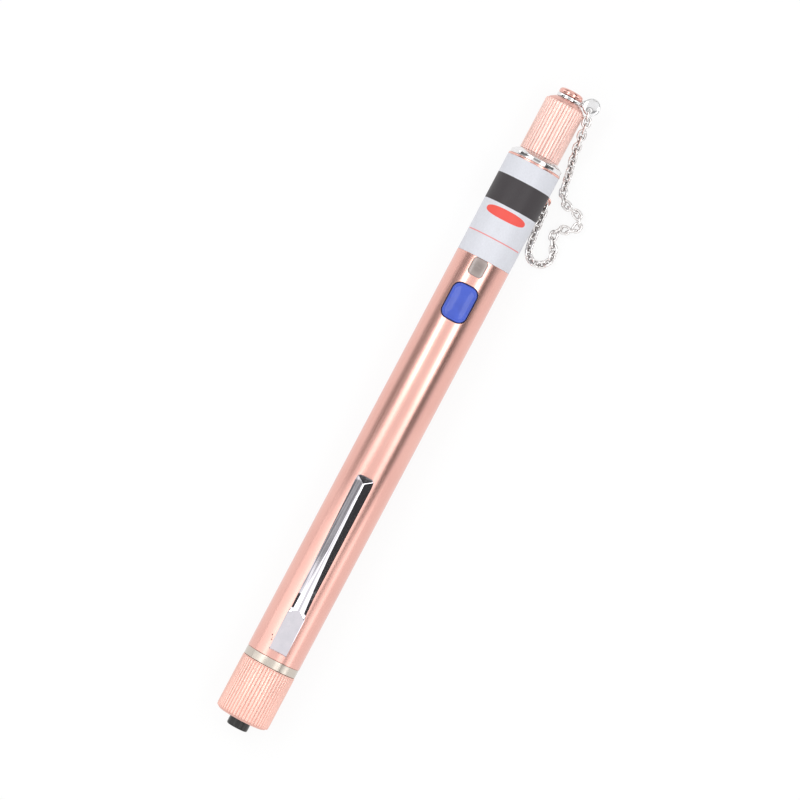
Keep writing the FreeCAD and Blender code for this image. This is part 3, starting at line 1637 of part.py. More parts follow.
def main():
    """Build every sub-part, check it and write it to its file."""
    pieces = [
        make_adapter_barrel(),
        make_ferrule_sleeve(),
        make_head_collar(),
        make_barrel_tube(),
        make_label_sleeve(),
        make_indicator_window(),
        make_side_button(),
        make_laser_housing(),
        make_focusing_lens(),
        make_lens_retainer(),
        make_laser_diode(),
        make_circuit_board(),
        make_board_cradle(),
        make_front_contact(),
        make_mode_switch(),
        make_switch_plunger(),
        make_indicator_led(),
        make_driver_chip(),
        make_cell("battery_rear", CELLS_END),
        make_cell("battery_front", f"({CELLS_END} + Sizes.cell_length)"),
        make_tail_ring(),
        make_tail_cap(),
        make_switch_retainer(),
        make_tail_switch(),
        make_tail_button(),
        make_tail_switch_plunger(),
        make_battery_spring(),
        make_dust_cap(),
        make_cap_liner(),
        make_cap_rivet(),
        make_swivel_ring(),
        make_pocket_clip(),
        make_chain_anchor(),
        make_safety_chain(),
    ]
    doc.recompute()
    for item in doc.Objects:
        if "Invalid" in item.State or "Error" in item.State:
            raise ValueError(f"{item.Label} failed: {item.State}")
    for piece in pieces:
        shape = piece.Shape
        if shape.isNull() or not shape.isValid() or not shape.Solids:
            raise ValueError(f"{piece.Label} has no valid solid")
    os.makedirs("parts", exist_ok=True)
    for piece in pieces:
        piece.Shape.exportStep(f"parts/{piece.Label}.step")
        box = piece.Shape.BoundBox
        print(f"{piece.Label}: {len(piece.Shape.Solids)} solids, {piece.Shape.Volume:.1f} mm3")
        low = f"{box.XMin:.2f} {box.YMin:.2f} {box.ZMin:.2f}"
        print(f"  from {low} to {box.XMax:.2f} {box.YMax:.2f} {box.ZMax:.2f}")


main()
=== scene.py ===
"""Dresses the pen-type visual fault locator and sets it on a pale studio table.

Sizes in the classes are millimetres and meshes are metres. X runs along the pen's axis out of the
ferrule port, and Z points to the side with the clip and the push button.
"""

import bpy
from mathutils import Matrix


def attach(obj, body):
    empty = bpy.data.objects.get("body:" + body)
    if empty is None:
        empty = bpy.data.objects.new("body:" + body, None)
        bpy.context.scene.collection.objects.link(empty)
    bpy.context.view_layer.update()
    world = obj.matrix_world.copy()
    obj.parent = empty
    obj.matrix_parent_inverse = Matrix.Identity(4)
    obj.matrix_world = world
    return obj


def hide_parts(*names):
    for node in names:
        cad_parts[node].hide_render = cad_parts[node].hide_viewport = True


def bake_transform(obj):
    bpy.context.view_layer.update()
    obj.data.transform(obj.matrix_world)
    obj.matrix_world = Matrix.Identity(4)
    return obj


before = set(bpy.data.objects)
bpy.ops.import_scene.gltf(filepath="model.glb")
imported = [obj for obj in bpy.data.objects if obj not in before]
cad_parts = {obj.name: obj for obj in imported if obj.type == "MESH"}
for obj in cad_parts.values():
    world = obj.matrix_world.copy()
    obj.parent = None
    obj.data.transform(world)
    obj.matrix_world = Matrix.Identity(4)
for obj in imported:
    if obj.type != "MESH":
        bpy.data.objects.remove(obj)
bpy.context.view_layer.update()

import logging
import math
from dataclasses import dataclass, field
from enum import Enum
from typing import ClassVar

import bmesh
import bpy
import numpy as np
from mathutils import Euler, Matrix, Vector
from mathutils.bvhtree import BVHTree

LOG = logging.getLogger("fault_locator")

MM = 0.001
TUBE_FRONT = -14.5
TUBE_REAR = -150.6
TUBE_RADIUS = 7.0
TABLE_HEIGHT = -7.05
ALONG, ASIDE, UP = Vector((1, 0, 0)), Vector((0, 1, 0)), Vector((0, 0, 1))

# Between these two values lies nearly all of a noise texture.
NOISE_RANGE = (0.3, 0.7)

Point = tuple[float, float]
Colour = tuple[float, float, float]


class Body(Enum):
    """The moving bodies of the pen."""

    PEN = "pen"
    SIDE_BUTTON = "side_button"
    SWIVEL_RING = "swivel_ring"
    DUST_CAP = "dust_cap"
    TAIL_CAP = "tail_cap"
    TAIL_BUTTON = "tail_button"


class Slot(Enum):
    """The record's material slots, one passed with each dressed piece."""

    ROSE_GOLD = "rose_gold"
    CHROME = "chrome"
    NICKEL = "nickel"
    LABEL_FILM = "label_film"
    SMOKED_LENS = "smoked_lens"
    BLUE_PLASTIC = "blue_plastic"
    BLACK_PLASTIC = "black_plastic"


class Grain(Enum):
    """Which way a metal's fine marks run."""

    ALONG = "along the pen"
    AROUND = "around the pen"
    EVEN = "no way in particular"


# Materials


class ShaderGraph:
    """One material's node tree, with short names for the nodes that the finishes use."""

    def __init__(self, name: str) -> None:
        """Start a material with a principled surface and its object coordinates in millimetres.

        Args:
            name: The material's name.
        """
        self.material = bpy.data.materials.new(name)
        self.material.use_nodes = True
        tree = self.material.node_tree
        self.nodes, self.links = tree.nodes, tree.links
        self.surface = self.nodes["Principled BSDF"]
        coordinates = self.nodes.new("ShaderNodeTexCoord").outputs["Object"]
        scale = self.nodes.new("ShaderNodeVectorMath")
        scale.operation = "SCALE"
        scale.inputs["Scale"].default_value = 1 / MM
        self.links.new(coordinates, scale.inputs[0])
        self.place = scale.outputs[0]
        split = self.nodes.new("ShaderNodeSeparateXYZ")
        self.links.new(self.place, split.inputs[0])
        self.x, self.y, self.z = split.outputs

    def feed(self, socket: bpy.types.NodeSocket, value: object) -> None:
        """Give a socket a number, a colour or another node's output.

        Args:
            socket: The input to set or link.
            value: A number, a colour, a vector or an output socket.
        """
        if isinstance(value, bpy.types.NodeSocket):
            self.links.new(value, socket)
        elif isinstance(value, tuple) and socket.type == "RGBA":
            socket.default_value = (*value, 1.0)
        else:
            socket.default_value = value

    def calc(self, operation: str, first: object, second: object = 0.0) -> bpy.types.NodeSocket:
        """Give the result of one arithmetic step.

        Args:
            operation: The step's name, such as MULTIPLY.
            first: The first number or output.
            second: The second number or output.

        Returns:
            The step's output.
        """
        node = self.nodes.new("ShaderNodeMath")
        node.operation = operation
        self.feed(node.inputs[0], first)
        self.feed(node.inputs[1], second)
        return node.outputs[0]

    def times(self, first: object, second: object) -> bpy.types.NodeSocket:
        """Multiply two numbers."""
        return self.calc("MULTIPLY", first, second)

    def plus(self, first: object, second: object) -> bpy.types.NodeSocket:
        """Add two numbers."""
        return self.calc("ADD", first, second)

    def squares(self, first: object, second: object) -> bpy.types.NodeSocket:
        """Add the squares of two numbers."""
        return self.plus(self.calc("POWER", first, 2.0), self.calc("POWER", second, 2.0))

    def window(self, value: object, low: float, high: float, soft: float) -> bpy.types.NodeSocket:
        """Give 1 between two limits and 0 outside, with soft edges.

        Args:
            value: The number to test.
            low: The lower limit.
            high: The upper limit.
            soft: How wide each edge is.

        Returns:
            The mask's output.
        """
        rise = self.span(value, low - soft / 2, low + soft / 2)
        fall = self.span(value, high + soft / 2, high - soft / 2)
        return self.times(rise, fall)

    def span(
        self, value: object, low: float, high: float, first: float = 0.0, last: float = 1.0
    ) -> bpy.types.NodeSocket:
        """Map a range of a number to another, held at its ends.

        Args:
            value: The number to map.
            low: Where the range begins.
            high: Where the range ends.
            first: What its beginning becomes.
            last: What its end becomes.

        Returns:
            The mapped output.
        """
        node = self.nodes.new("ShaderNodeMapRange")
        names = ("Value", "From Min", "From Max", "To Min", "To Max")
        for name, given in zip(names, (value, low, high, first, last)):
            self.feed(node.inputs[name], given)
        return node.outputs[0]

    def arc(self) -> bpy.types.NodeSocket:
        """Give the length round the tube, zero at the top."""
        return self.times(self.calc("ARCTAN2", self.y, self.z), TUBE_RADIUS)

    def vector(self, x: object, y: object, z: object = 0.0) -> bpy.types.NodeSocket:
        """Join three numbers into a vector.

        Args:
            x: The first number or output.
            y: The second.
            z: The third.

        Returns:
            The vector's output.
        """
        node = self.nodes.new("ShaderNodeCombineXYZ")
        for socket, value in zip(node.inputs, (x, y, z)):
            self.feed(socket, value)
        return node.outputs[0]

    def noise(self, vector: object, scale: float, detail: float = 2.0) -> bpy.types.NodeSocket:
        """Give a smooth random value over a vector.

        Args:
            vector: Where to read the noise.
            scale: How many features there are to a unit.
            detail: How many finer layers it has.

        Returns:
            The value's output, about 0 to 1.
        """
        node = self.nodes.new("ShaderNodeTexNoise")
        self.feed(node.inputs["Vector"], vector)
        node.inputs["Scale"].default_value = scale
        node.inputs["Detail"].default_value = detail
        return node.outputs[0]

    def blend(self, share: object, first: object, second: object) -> bpy.types.NodeSocket:
        """Mix two colours.

        Args:
            share: How much of the second shows.
            first: The first colour or output.
            second: The second colour or output.

        Returns:
            The mixed colour's output.
        """
        node = self.nodes.new("ShaderNodeMix")
        node.data_type = "RGBA"
        self.feed(node.inputs[0], share)
        self.feed(node.inputs[6], first)
        self.feed(node.inputs[7], second)
        return node.outputs[2]

    def bump(self, height: object, depth: float, strength: float = 1.0) -> None:
        """Raise the surface by a height map.

        Args:
            height: The map, 0 to 1.
            depth: Its full height in millimetres.
            strength: How strongly it shades.
        """
        node = self.nodes.new("ShaderNodeBump")
        node.inputs["Strength"].default_value = strength
        node.inputs["Distance"].default_value = depth * MM
        self.feed(node.inputs["Height"], height)
        self.links.new(node.outputs[0], self.surface.inputs["Normal"])

    def set(self, name: str, value: object) -> None:
        """Set one input of the principled surface."""
        self.feed(self.surface.inputs[name], value)


@dataclass(frozen=True)
class SatinMetal:
    """Satin metal with fine drawn or turned marks and a slow drift of tone.

    A speck is a dark nick: its place along the pen, its place across and its size. The groove shade is painted
    shade in the grooves between ribs: its two radii are where it is full and where it ends.
    """

    STRETCH: ClassVar[dict[Grain, Point]] = {Grain.ALONG: (0.04, 5.0), Grain.AROUND: (9.0, 0.12)}
    FINE_SCALE: ClassVar[float] = 1.3
    DRIFT_SCALE: ClassVar[float] = 0.09
    FINE_SHARE: ClassVar[float] = 0.35
    NICK_TONE: ClassVar[Colour] = (0.06, 0.04, 0.035)
    NICK_SQUEEZE: ClassVar[float] = 1.6
    NICK_EDGE: ClassVar[Point] = (1.2, 0.5)

    name: str
    colour: Colour
    shade: Colour
    grain: Grain
    roughness: float = 0.26
    spread: float = 0.08
    mark_depth: float = 0.004
    specks: tuple[tuple[float, float, float], ...] = ()
    # painted shade in the grooves between ribs: the radii where it is full and where it ends, and its tone
    groove_shade_radii: tuple[float, float] | None = None
    groove_shade: Colour = (0.6, 0.27, 0.21)

    def build(self) -> bpy.types.Material:
        """Make the material.

        Returns:
            The new material.
        """
        graph = ShaderGraph(self.name)
        marks = graph.place
        if self.grain in self.STRETCH:
            along, around = self.STRETCH[self.grain]
            marks = graph.vector(graph.times(graph.x, along), graph.times(graph.arc(), around))
        fine = graph.noise(marks, self.FINE_SCALE, 3.0)
        drift = graph.noise(graph.place, self.DRIFT_SCALE, 1.0)
        tone = graph.plus(graph.times(fine, self.FINE_SHARE), graph.times(drift, 1 - self.FINE_SHARE))
        colour = graph.blend(graph.span(tone, *NOISE_RANGE), self.colour, self.shade)
        # painted shade: the grooves between the ribs are darkened by radius
        if self.groove_shade_radii:
            radius = graph.calc("SQRT", graph.squares(graph.y, graph.z))
            colour = graph.blend(graph.span(radius, *self.groove_shade_radii, 1.0, 0.0), colour, self.groove_shade)
        wear = self.worn(graph)
        if wear is not None:
            colour = graph.blend(wear, colour, self.NICK_TONE)
        graph.set("Base Color", colour)
        graph.set("Metallic", 1.0)
        low, high = self.roughness - self.spread / 2, self.roughness + self.spread / 2
        graph.set("Roughness", graph.span(fine, *NOISE_RANGE, low, high))
        if self.mark_depth:
            graph.bump(fine, self.mark_depth, 0.35)
        return graph.material

    def worn(self, graph: ShaderGraph) -> bpy.types.NodeSocket | None:
        """Mask the small dark nicks, each given as its place along, its place across and its size.

        Args:
            graph: The material's node tree.

        Returns:
            The mask's output, or None where there are no nicks.
        """
        mask = None
        faint, full = self.NICK_EDGE
        for along, across, wide in self.specks:
            aside = graph.times(graph.calc("SUBTRACT", graph.y, across), self.NICK_SQUEEZE)
            away = graph.squares(graph.calc("SUBTRACT", graph.x, along), aside)
            area = wide * wide
            reach = graph.plus(away, graph.times(graph.noise(graph.place, 9.0), area))
            spot = graph.span(reach, area * faint, area * full)
            spot = graph.times(spot, graph.calc("GREATER_THAN", graph.z, 0.0))
            mask = spot if mask is None else graph.calc("MAXIMUM", mask, spot)
        return mask


@dataclass(frozen=True)
class PlatedMetal:
    """Bright plating with hairline scratches and a faint haze.

    Dark streaks painted along the left half of the clip's arm are a painted reflection, and a crevice attribute
    darkens what lies deep with painted shade.
    """

    SCRATCH_STRETCH: ClassVar[Colour] = (0.5, 7.0, 7.0)
    # dark streaks painted on the clip's arm stand for a reflection: their stretch, their tone, and where along
    # and across the arm they lie
    STREAK_STRETCH: ClassVar[Point] = (0.05, 3.2)
    PAINTED_STREAK_TONE: ClassVar[Colour] = (0.12, 0.11, 0.13)
    ARM_START: ClassVar[Point] = (-136.5, -130.0)
    ARM_SIDE: ClassVar[Point] = (-0.2, 0.4)

    name: str
    colour: Colour = (0.86, 0.86, 0.87)
    haze: Colour = (0.78, 0.77, 0.77)
    roughness: float = 0.08
    spread: float = 0.07
    streak: float = 0.002
    # how strong the painted reflection's dark streaks are
    painted_streaks: float = 0.0
    # the chain's painted shade: the attribute that sets it and its tone
    crevice_shade: str = ""
    crevice_shade_tone: Colour = (0.3, 0.26, 0.25)

    def build(self) -> bpy.types.Material:
        """Make the material.

        Returns:
            The new material.
        """
        graph = ShaderGraph(self.name)
        cloud = graph.noise(graph.place, 0.6, 3.0)
        axes = zip((graph.x, graph.y, graph.z), self.SCRATCH_STRETCH)
        scratch = graph.noise(graph.vector(*(graph.times(axis, stretch) for axis, stretch in axes)), 1.6)
        colour = graph.blend(graph.span(cloud, 0.35, 0.7), self.colour, self.haze)
        # painted reflection: dark streaks along the left half of the clip's arm
        if self.painted_streaks:
            along, across = self.STREAK_STRETCH
            marks = graph.vector(graph.times(graph.x, along), graph.times(graph.y, across))
            lines = graph.span(graph.noise(marks, 1.0), 0.46, 0.6, 0.0, self.painted_streaks)
            lines = graph.times(lines, graph.span(graph.x, *self.ARM_START))
            lines = graph.times(lines, graph.span(graph.y, *self.ARM_SIDE))
            colour = graph.blend(lines, colour, self.PAINTED_STREAK_TONE)
        # painted shade: darker where the links beside a point close off its view
        if self.crevice_shade:
            hidden = graph.nodes.new("ShaderNodeAttribute")
            hidden.attribute_name = self.crevice_shade
            colour = graph.blend(graph.span(hidden.outputs["Fac"], 0.3, 0.8), colour, self.crevice_shade_tone)
        graph.set("Base Color", colour)
        graph.set("Metallic", 1.0)
        rough = self.roughness + self.spread
        graph.set("Roughness", graph.span(scratch, 0.3, 0.75, self.roughness, rough))
        graph.bump(scratch, self.streak, 0.25)
        return graph.material


@dataclass(frozen=True)
class LabelFilm:
    """Silver-white film with a dark band, a plain red oval and a thin red line."""

    name: str = "label_film"
    film: Colour = (0.66, 0.67, 0.72)
    dark: Colour = (0.034, 0.029, 0.032)
    red: Colour = (0.78, 0.085, 0.065)
    band: Point = (-27.1, -20.0)
    oval_place: float = -29.2
    oval_size: Point = (1.3, 5.8)
    oval_power: float = 2.4
    line: Point = (-35.7, -35.4)
    line_reach: float = 9.0
    line_share: float = 0.7

    def build(self) -> bpy.types.Material:
        """Make the material.

        Returns:
            The new material.
        """
        graph = ShaderGraph(self.name)
        arc = graph.arc()
        fibre = graph.noise(graph.place, 2.2, 3.0)
        shade = tuple(part * 0.94 for part in self.film)
        film = graph.blend(graph.span(fibre, *NOISE_RANGE), self.film, shade)
        band = graph.window(graph.x, *self.band, 0.05)
        worn_ink = tuple(part * 1.5 for part in self.dark)
        ink = graph.blend(graph.noise(graph.place, 6.0), self.dark, worn_ink)
        colour = graph.blend(band, film, ink)
        along = graph.calc("DIVIDE", graph.calc("SUBTRACT", graph.x, self.oval_place), self.oval_size[0])
        across = graph.calc("DIVIDE", arc, self.oval_size[1])
        parts = [graph.calc("POWER", graph.calc("ABSOLUTE", side), self.oval_power) for side in (along, across)]
        away = graph.plus(*parts)
        oval = graph.span(away, 1.04, 0.96)
        colour = graph.blend(oval, colour, self.red)
        line = graph.window(graph.x, *self.line, 0.05)
        line = graph.times(line, graph.window(arc, -self.line_reach, self.line_reach, 0.1))
        colour = graph.blend(graph.times(line, self.line_share), colour, self.red)
        graph.set("Base Color", colour)
        printed = graph.calc("MAXIMUM", graph.calc("MAXIMUM", band, oval), line)
        graph.set("Metallic", graph.span(printed, 0.0, 1.0, 0.12, 0.0))
        graph.set("Roughness", graph.span(fibre, *NOISE_RANGE, 0.46, 0.56))
        graph.set("Specular IOR Level", 0.4)
        graph.bump(fibre, 0.004, 0.2)
        return graph.material


@dataclass(frozen=True)
class MouldedPlastic:
    """Moulded plastic with a fine grain and slightly uneven gloss."""

    name: str
    colour: Colour
    shade: Colour
    roughness: float = 0.4
    grain: float = 7.0
    depth: float = 0.01
    gloss_coat: float = 0.0

    def build(self) -> bpy.types.Material:
        """Make the material.

        Returns:
            The new material.
        """
        graph = ShaderGraph(self.name)
        fine = graph.noise(graph.place, self.grain, 2.0)
        slow = graph.noise(graph.place, 0.35, 1.0)
        graph.set("Base Color", graph.blend(graph.span(slow, 0.35, 0.65), self.colour, self.shade))
        graph.set("Roughness", graph.span(fine, *NOISE_RANGE, self.roughness - 0.05, self.roughness + 0.07))
        graph.set("Coat Weight", self.gloss_coat)
        graph.bump(fine, self.depth, 0.4)
        return graph.material


@dataclass(frozen=True)
class SmokedLens:
    """Grey lens over the indicator lamp, darker at the middle where the lamp's well shows."""

    name: str = "smoked_lens"
    centre: float = -43.5
    rim: Colour = (0.36, 0.3, 0.28)
    well: Colour = (0.26, 0.215, 0.2)
    well_edge: Point = (1.0, 2.4)

    def build(self) -> bpy.types.Material:
        """Make the material.

        Returns:
            The new material.
        """
        graph = ShaderGraph(self.name)
        along = graph.calc("SUBTRACT", graph.x, self.centre)
        away = graph.calc("SQRT", graph.squares(along, graph.y))
        cloud = graph.noise(graph.place, 1.4, 2.0)
        edge = graph.plus(away, graph.times(cloud, 0.5))
        graph.set("Base Color", graph.blend(graph.span(edge, *self.well_edge), self.well, self.rim))
        graph.set("Roughness", graph.span(cloud, *NOISE_RANGE, 0.2, 0.3))
        graph.set("Coat Weight", 0.4)
        graph.bump(cloud, 0.01, 0.2)
        return graph.material


@dataclass(frozen=True)
class ClearGlass:
    """The focusing lens: clear, with a faint coating tint."""

    name: str = "clear_glass"
    tint: Colour = (0.86, 0.93, 0.97)
    coating: Colour = (0.8, 0.86, 0.98)

    def build(self) -> bpy.types.Material:
        """Make the material.

        Returns:
            The new material.
        """
        graph = ShaderGraph(self.name)
        haze = graph.noise(graph.place, 1.5, 2.0)
        graph.set("Base Color", graph.blend(haze, self.tint, self.coating))
        graph.set("Transmission Weight", 0.95)
        graph.set("Roughness", graph.span(haze, *NOISE_RANGE, 0.02, 0.06))
        graph.set("IOR", 1.5)
        return graph.material


@dataclass(frozen=True)
class CircuitMask:
    """Green solder mask with pale tracks and tinned pads."""

    name: str = "board_green"
    mask: Colour = (0.02, 0.16, 0.06)
    track: Colour = (0.05, 0.3, 0.12)

    def build(self) -> bpy.types.Material:
        """Make the material.

        Returns:
            The new material.
        """
        graph = ShaderGraph(self.name)
        cell = graph.nodes.new("ShaderNodeTexBrick")
        graph.feed(cell.inputs["Vector"], graph.place)
        cell.inputs["Scale"].default_value = 0.35
        cell.inputs["Mortar Size"].default_value = 0.05
        lines = graph.calc("SUBTRACT", 1.0, cell.outputs["Fac"])
        weave = graph.noise(graph.place, 5.0, 2.0)
        graph.set("Base Color", graph.blend(lines, self.track, self.mask))
        graph.set("Roughness", graph.span(weave, *NOISE_RANGE, 0.28, 0.4))
        graph.bump(lines, 0.03, 0.5)
        return graph.material


@dataclass(frozen=True)
class CellWrap:
    """The cells' plain wrap: dark with one pale copper end band and bare steel at the nub."""

    name: str = "cell_film"
    wrap: Colour = (0.03, 0.032, 0.038)
    copper: Colour = (0.6, 0.34, 0.16)
    steel: Colour = (0.6, 0.6, 0.6)
    front: float = -63.9
    length: float = 44.5
    band: Point = (1.0, 12.0)
    nub: float = 0.95

    def build(self) -> bpy.types.Material:
        """Make the material.

        Returns:
            The new material.
        """
        graph = ShaderGraph(self.name)
        along = graph.calc("MODULO", graph.calc("SUBTRACT", self.front, graph.x), self.length)
        band = graph.window(along, *self.band, 0.08)
        bare = graph.calc("LESS_THAN", along, self.nub)
        sheen = graph.noise(graph.place, 2.0, 2.0)
        colour = graph.blend(band, self.wrap, self.copper)
        graph.set("Base Color", graph.blend(bare, colour, self.steel))
        graph.set("Metallic", graph.calc("MAXIMUM", bare, graph.times(band, 0.7)))
        graph.set("Roughness", graph.span(sheen, *NOISE_RANGE, 0.25, 0.36))
        return graph.material


class Finishes:
    """The finishes of the pen by name, each made once."""

    NICKS = ((-145.45, 2.45, 0.4), (-146.0, 2.15, 0.22), (-146.55, 2.1, 0.36))

    def __init__(self) -> None:
        """Build every material."""
        self.tube = SatinMetal(
            "rose_gold_tube", (0.88, 0.51, 0.445), (0.82, 0.455, 0.395), Grain.ALONG, 0.25, 0.06,
            specks=self.NICKS,
        ).build()
        self.cap = SatinMetal(
            # paler than the tube's rose gold: the paleness is a painted sheen standing for the ribs' highlights
            "rose_gold_cap", (0.95, 0.71, 0.65), (0.92, 0.64, 0.57), Grain.ALONG, 0.38, 0.03, 0.0,
            # painted shade in the grooves between the ribs
            groove_shade_radii=(5.03, 5.13), groove_shade=(0.84, 0.5, 0.44),
        ).build()
        self.tail = SatinMetal(
            # paler than the tube's rose gold: the paleness is a painted sheen standing for the ribs' highlights
            "rose_gold_tail", (0.94, 0.62, 0.54), (0.9, 0.56, 0.48), Grain.ALONG, 0.4, 0.03, 0.0,
            # painted shade in the grooves between the ribs
            groove_shade_radii=(6.86, 6.96), groove_shade=(0.82, 0.47, 0.4),
        ).build()
        self.rivet = SatinMetal(
            "rose_gold_rivet", (0.87, 0.5, 0.44), (0.82, 0.45, 0.39), Grain.EVEN, 0.16, 0.03, 0.0
        ).build()
        self.nickel = SatinMetal(
            "champagne_nickel", (0.66, 0.6, 0.53), (0.58, 0.52, 0.46), Grain.AROUND, 0.24, 0.08
        ).build()
        self.brass = SatinMetal("turned_brass", (0.75, 0.52, 0.2), (0.66, 0.44, 0.16), Grain.AROUND).build()
        self.spring = SatinMetal("spring_steel", (0.6, 0.6, 0.62), (0.5, 0.5, 0.52), Grain.EVEN).build()
        self.chrome = PlatedMetal("bright_chrome").build()
        self.chain = PlatedMetal(
            # painted shade where the links close off each other's view
            "chain_chrome", (0.92, 0.9, 0.89), (0.8, 0.77, 0.76), 0.1, 0.08, crevice_shade=SafetyChain.CREVICE_SHADE
        ).build()
        self.clip = PlatedMetal(
            # dark streaks painted on the arm's left half are a painted reflection
            "clip_chrome", (0.75, 0.72, 0.77), (0.7, 0.68, 0.73), 0.06, 0.05, streak=0.003, painted_streaks=0.75
        ).build()
        self.label = LabelFilm().build()
        self.window = SmokedLens().build()
        self.button = MouldedPlastic(
            "blue_plastic", (0.036, 0.088, 0.54), (0.03, 0.075, 0.48), 0.4, 6.0, 0.004, gloss_coat=0.3
        ).build()
        self.black = MouldedPlastic("black_plastic", (0.011, 0.01, 0.01), (0.016, 0.015, 0.015), 0.3).build()
        self.white = MouldedPlastic("white_plastic", (0.8, 0.8, 0.78), (0.74, 0.74, 0.71), 0.4).build()
        self.ceramic = MouldedPlastic("ground_ceramic", (0.88, 0.88, 0.84), (0.84, 0.83, 0.79), 0.2).build()
        self.liner = MouldedPlastic(
            "soft_liner", (0.03, 0.03, 0.032), (0.045, 0.045, 0.05), 0.7, 4.0, 0.02
        ).build()
        self.glass = ClearGlass().build()
        self.board = CircuitMask().build()
        self.cell = CellWrap().build()


# Mesh helpers


def soften(profile: list[Point], reach: float, steps: int = 3, closed: bool = True) -> list[Point]:
    """Round the corners of an outline a little.

    Args:
        profile: The outline's corners.
        reach: How far from each corner the rounding begins.
        steps: How many pieces each rounding has.
        closed: Whether the outline closes on itself.

    Returns:
        The outline with its corners rounded.
    """
    count = len(profile)
    rounded: list[Point] = []
    for index, corner in enumerate(profile):
        if not closed and index in (0, count - 1):
            rounded.append(corner)
            continue
        here = Vector((*corner, 0))
        before = Vector((*profile[index - 1], 0)) - here
        after = Vector((*profile[(index + 1) % count], 0)) - here
        first = here + before.normalized() * min(reach, before.length * 0.45)
        last = here + after.normalized() * min(reach, after.length * 0.45)
        for step in range(steps + 1):
            share = step / steps
            point = first * (1 - share) ** 2 + here * 2 * share * (1 - share) + last * share**2
            rounded.append((point.x, point.y))
    return rounded


def ring_mesh(name: str, rings: list[list[Vector]], closed: bool, sharp: float = 38.0) -> bpy.types.Object:
    """Join rings of points, in millimetres, into one closed mesh.

    Args:
        name: The piece's name.
        rings: Rings with the same number of points each.
        closed: Whether the last ring joins the first; if not, both ends are filled.
        sharp: The angle in degrees above which an edge stays sharp.

    Returns:
        The new object, at the origin.
    """
    mesh = bmesh.new()
    rows = [[mesh.verts.new(point * MM) for point in ring] for ring in rings]
    size = len(rows[0])
    pairs = list(zip(rows, rows[1:])) + ([(rows[-1], rows[0])] if closed else [])
    for row, after in pairs:
        for index in range(size):
            beside = (index + 1) % size
            mesh.faces.new((row[index], row[beside], after[beside], after[index]))
    if not closed:
        mesh.faces.new(list(reversed(rows[0])))
        mesh.faces.new(rows[-1])
    return finish_mesh(name, mesh, sharp)


def finish_mesh(name: str, mesh: bmesh.types.BMesh, sharp: float = 38.0) -> bpy.types.Object:
    """Turn a working mesh into an object with its faces out and its sharp edges marked.

    Args:
        name: The piece's name.
        mesh: The working mesh, which is freed.
        sharp: The angle in degrees above which an edge stays sharp.

    Returns:
        The new object, at the origin.
    """
    bmesh.ops.remove_doubles(mesh, verts=mesh.verts, dist=1e-8)
    bmesh.ops.dissolve_degenerate(mesh, edges=mesh.edges, dist=1e-8)
    bmesh.ops.recalc_face_normals(mesh, faces=mesh.faces)
    data = bpy.data.meshes.new(name)
    mesh.to_mesh(data)
    mesh.free()
    piece = bpy.data.objects.new(name, data)
    bpy.context.scene.collection.objects.link(piece)
    smooth(piece, sharp)
    return piece


def smooth(piece: bpy.types.Object, sharp: float) -> None:
    """Shade a piece smoothly, apart from edges over an angle in degrees."""
    piece.data.shade_smooth()
    piece.data.set_sharp_from_angle(angle=math.radians(sharp))


def lathe(name: str, profile: list[Point], turns: int = 128, rim: float = 0.08) -> bpy.types.Object:
    """Turn an outline about the pen's axis.

    Args:
        name: The piece's name.
        profile: Corners as (along, radius), in millimetres; it may begin and end on the axis.
        turns: How many steps go round.
        rim: How far its corners are rounded.

    Returns:
        The new object.
    """
    solid = profile[0][1] == 0
    outline = soften(profile, rim, closed=not solid)
    rings = []
    for along, radius in outline:
        if radius == 0:
            continue
        angles = (2 * math.pi * index / turns for index in range(turns))
        rings.append([Vector((along, radius * math.sin(a), radius * math.cos(a))) for a in angles])
    return ring_mesh(name, rings, not solid)


def rounded_rectangle(length: float, width: float, corner: float, steps: int = 8) -> list[Point]:
    """Give the points of a rectangle with round corners about its middle.

    Args:
        length: Its size along the pen.
        width: Its size across.
        corner: The corners' radius.
        steps: How many pieces each corner has.

    Returns:
        The outline's points, in order.
    """
    points = []
    for quarter, (sign_x, sign_y) in enumerate(((1, 1), (-1, 1), (-1, -1), (1, -1))):
        for step in range(steps + 1):
            angle = math.pi / 2 * (quarter + step / steps)
            x = sign_x * (length / 2 - corner) + corner * math.cos(angle)
            y = sign_y * (width / 2 - corner) + corner * math.sin(angle)
            points.append((x, y))
    return points


def circle(centre: Vector, first: Vector, second: Vector, radius: float, steps: int) -> list[Vector]:
    """Give points round a circle.

    Args:
        centre: Its middle.
        first: The unit direction of its first point.
        second: The unit direction of a quarter turn on.
        radius: Its radius.
        steps: How many points it has.

    Returns:
        The points, in order.
    """
    angles = (2 * math.pi * step / steps for step in range(steps))
    return [centre + (first * math.cos(angle) + second * math.sin(angle)) * radius for angle in angles]


def baked(piece: bpy.types.Object) -> bpy.types.Object:
    """Turn a piece's modifiers into a plain mesh.

    Args:
        piece: The piece with its modifiers.

    Returns:
        The same object, with the result as its mesh and no modifier left.
    """
    graph = bpy.context.evaluated_depsgraph_get()
    result = bpy.data.meshes.new_from_object(piece.evaluated_get(graph), depsgraph=graph)
    piece.modifiers.clear()
    piece.data = result
    return piece


def dress(
    piece: bpy.types.Object, material: bpy.types.Material, body: Body, slot: Slot, *nodes: str
) -> bpy.types.Object:
    """Give a finished piece its material, its body and the solids that it stands for.

    Args:
        piece: The finished piece.
        material: Its finish.
        body: The body that it moves with.
        slot: The record's slot for its finish; not used.
        nodes: The names of the solids that it replaces.

    Returns:
        The piece.
    """
    piece.data.materials.clear()
    piece.data.materials.append(material)
    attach(piece, body.value)
    if nodes:
        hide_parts(*nodes)
    LOG.info("%s: %d faces on %s", piece.name, len(piece.data.polygons), body.value)
    return piece


# Geometry node trees


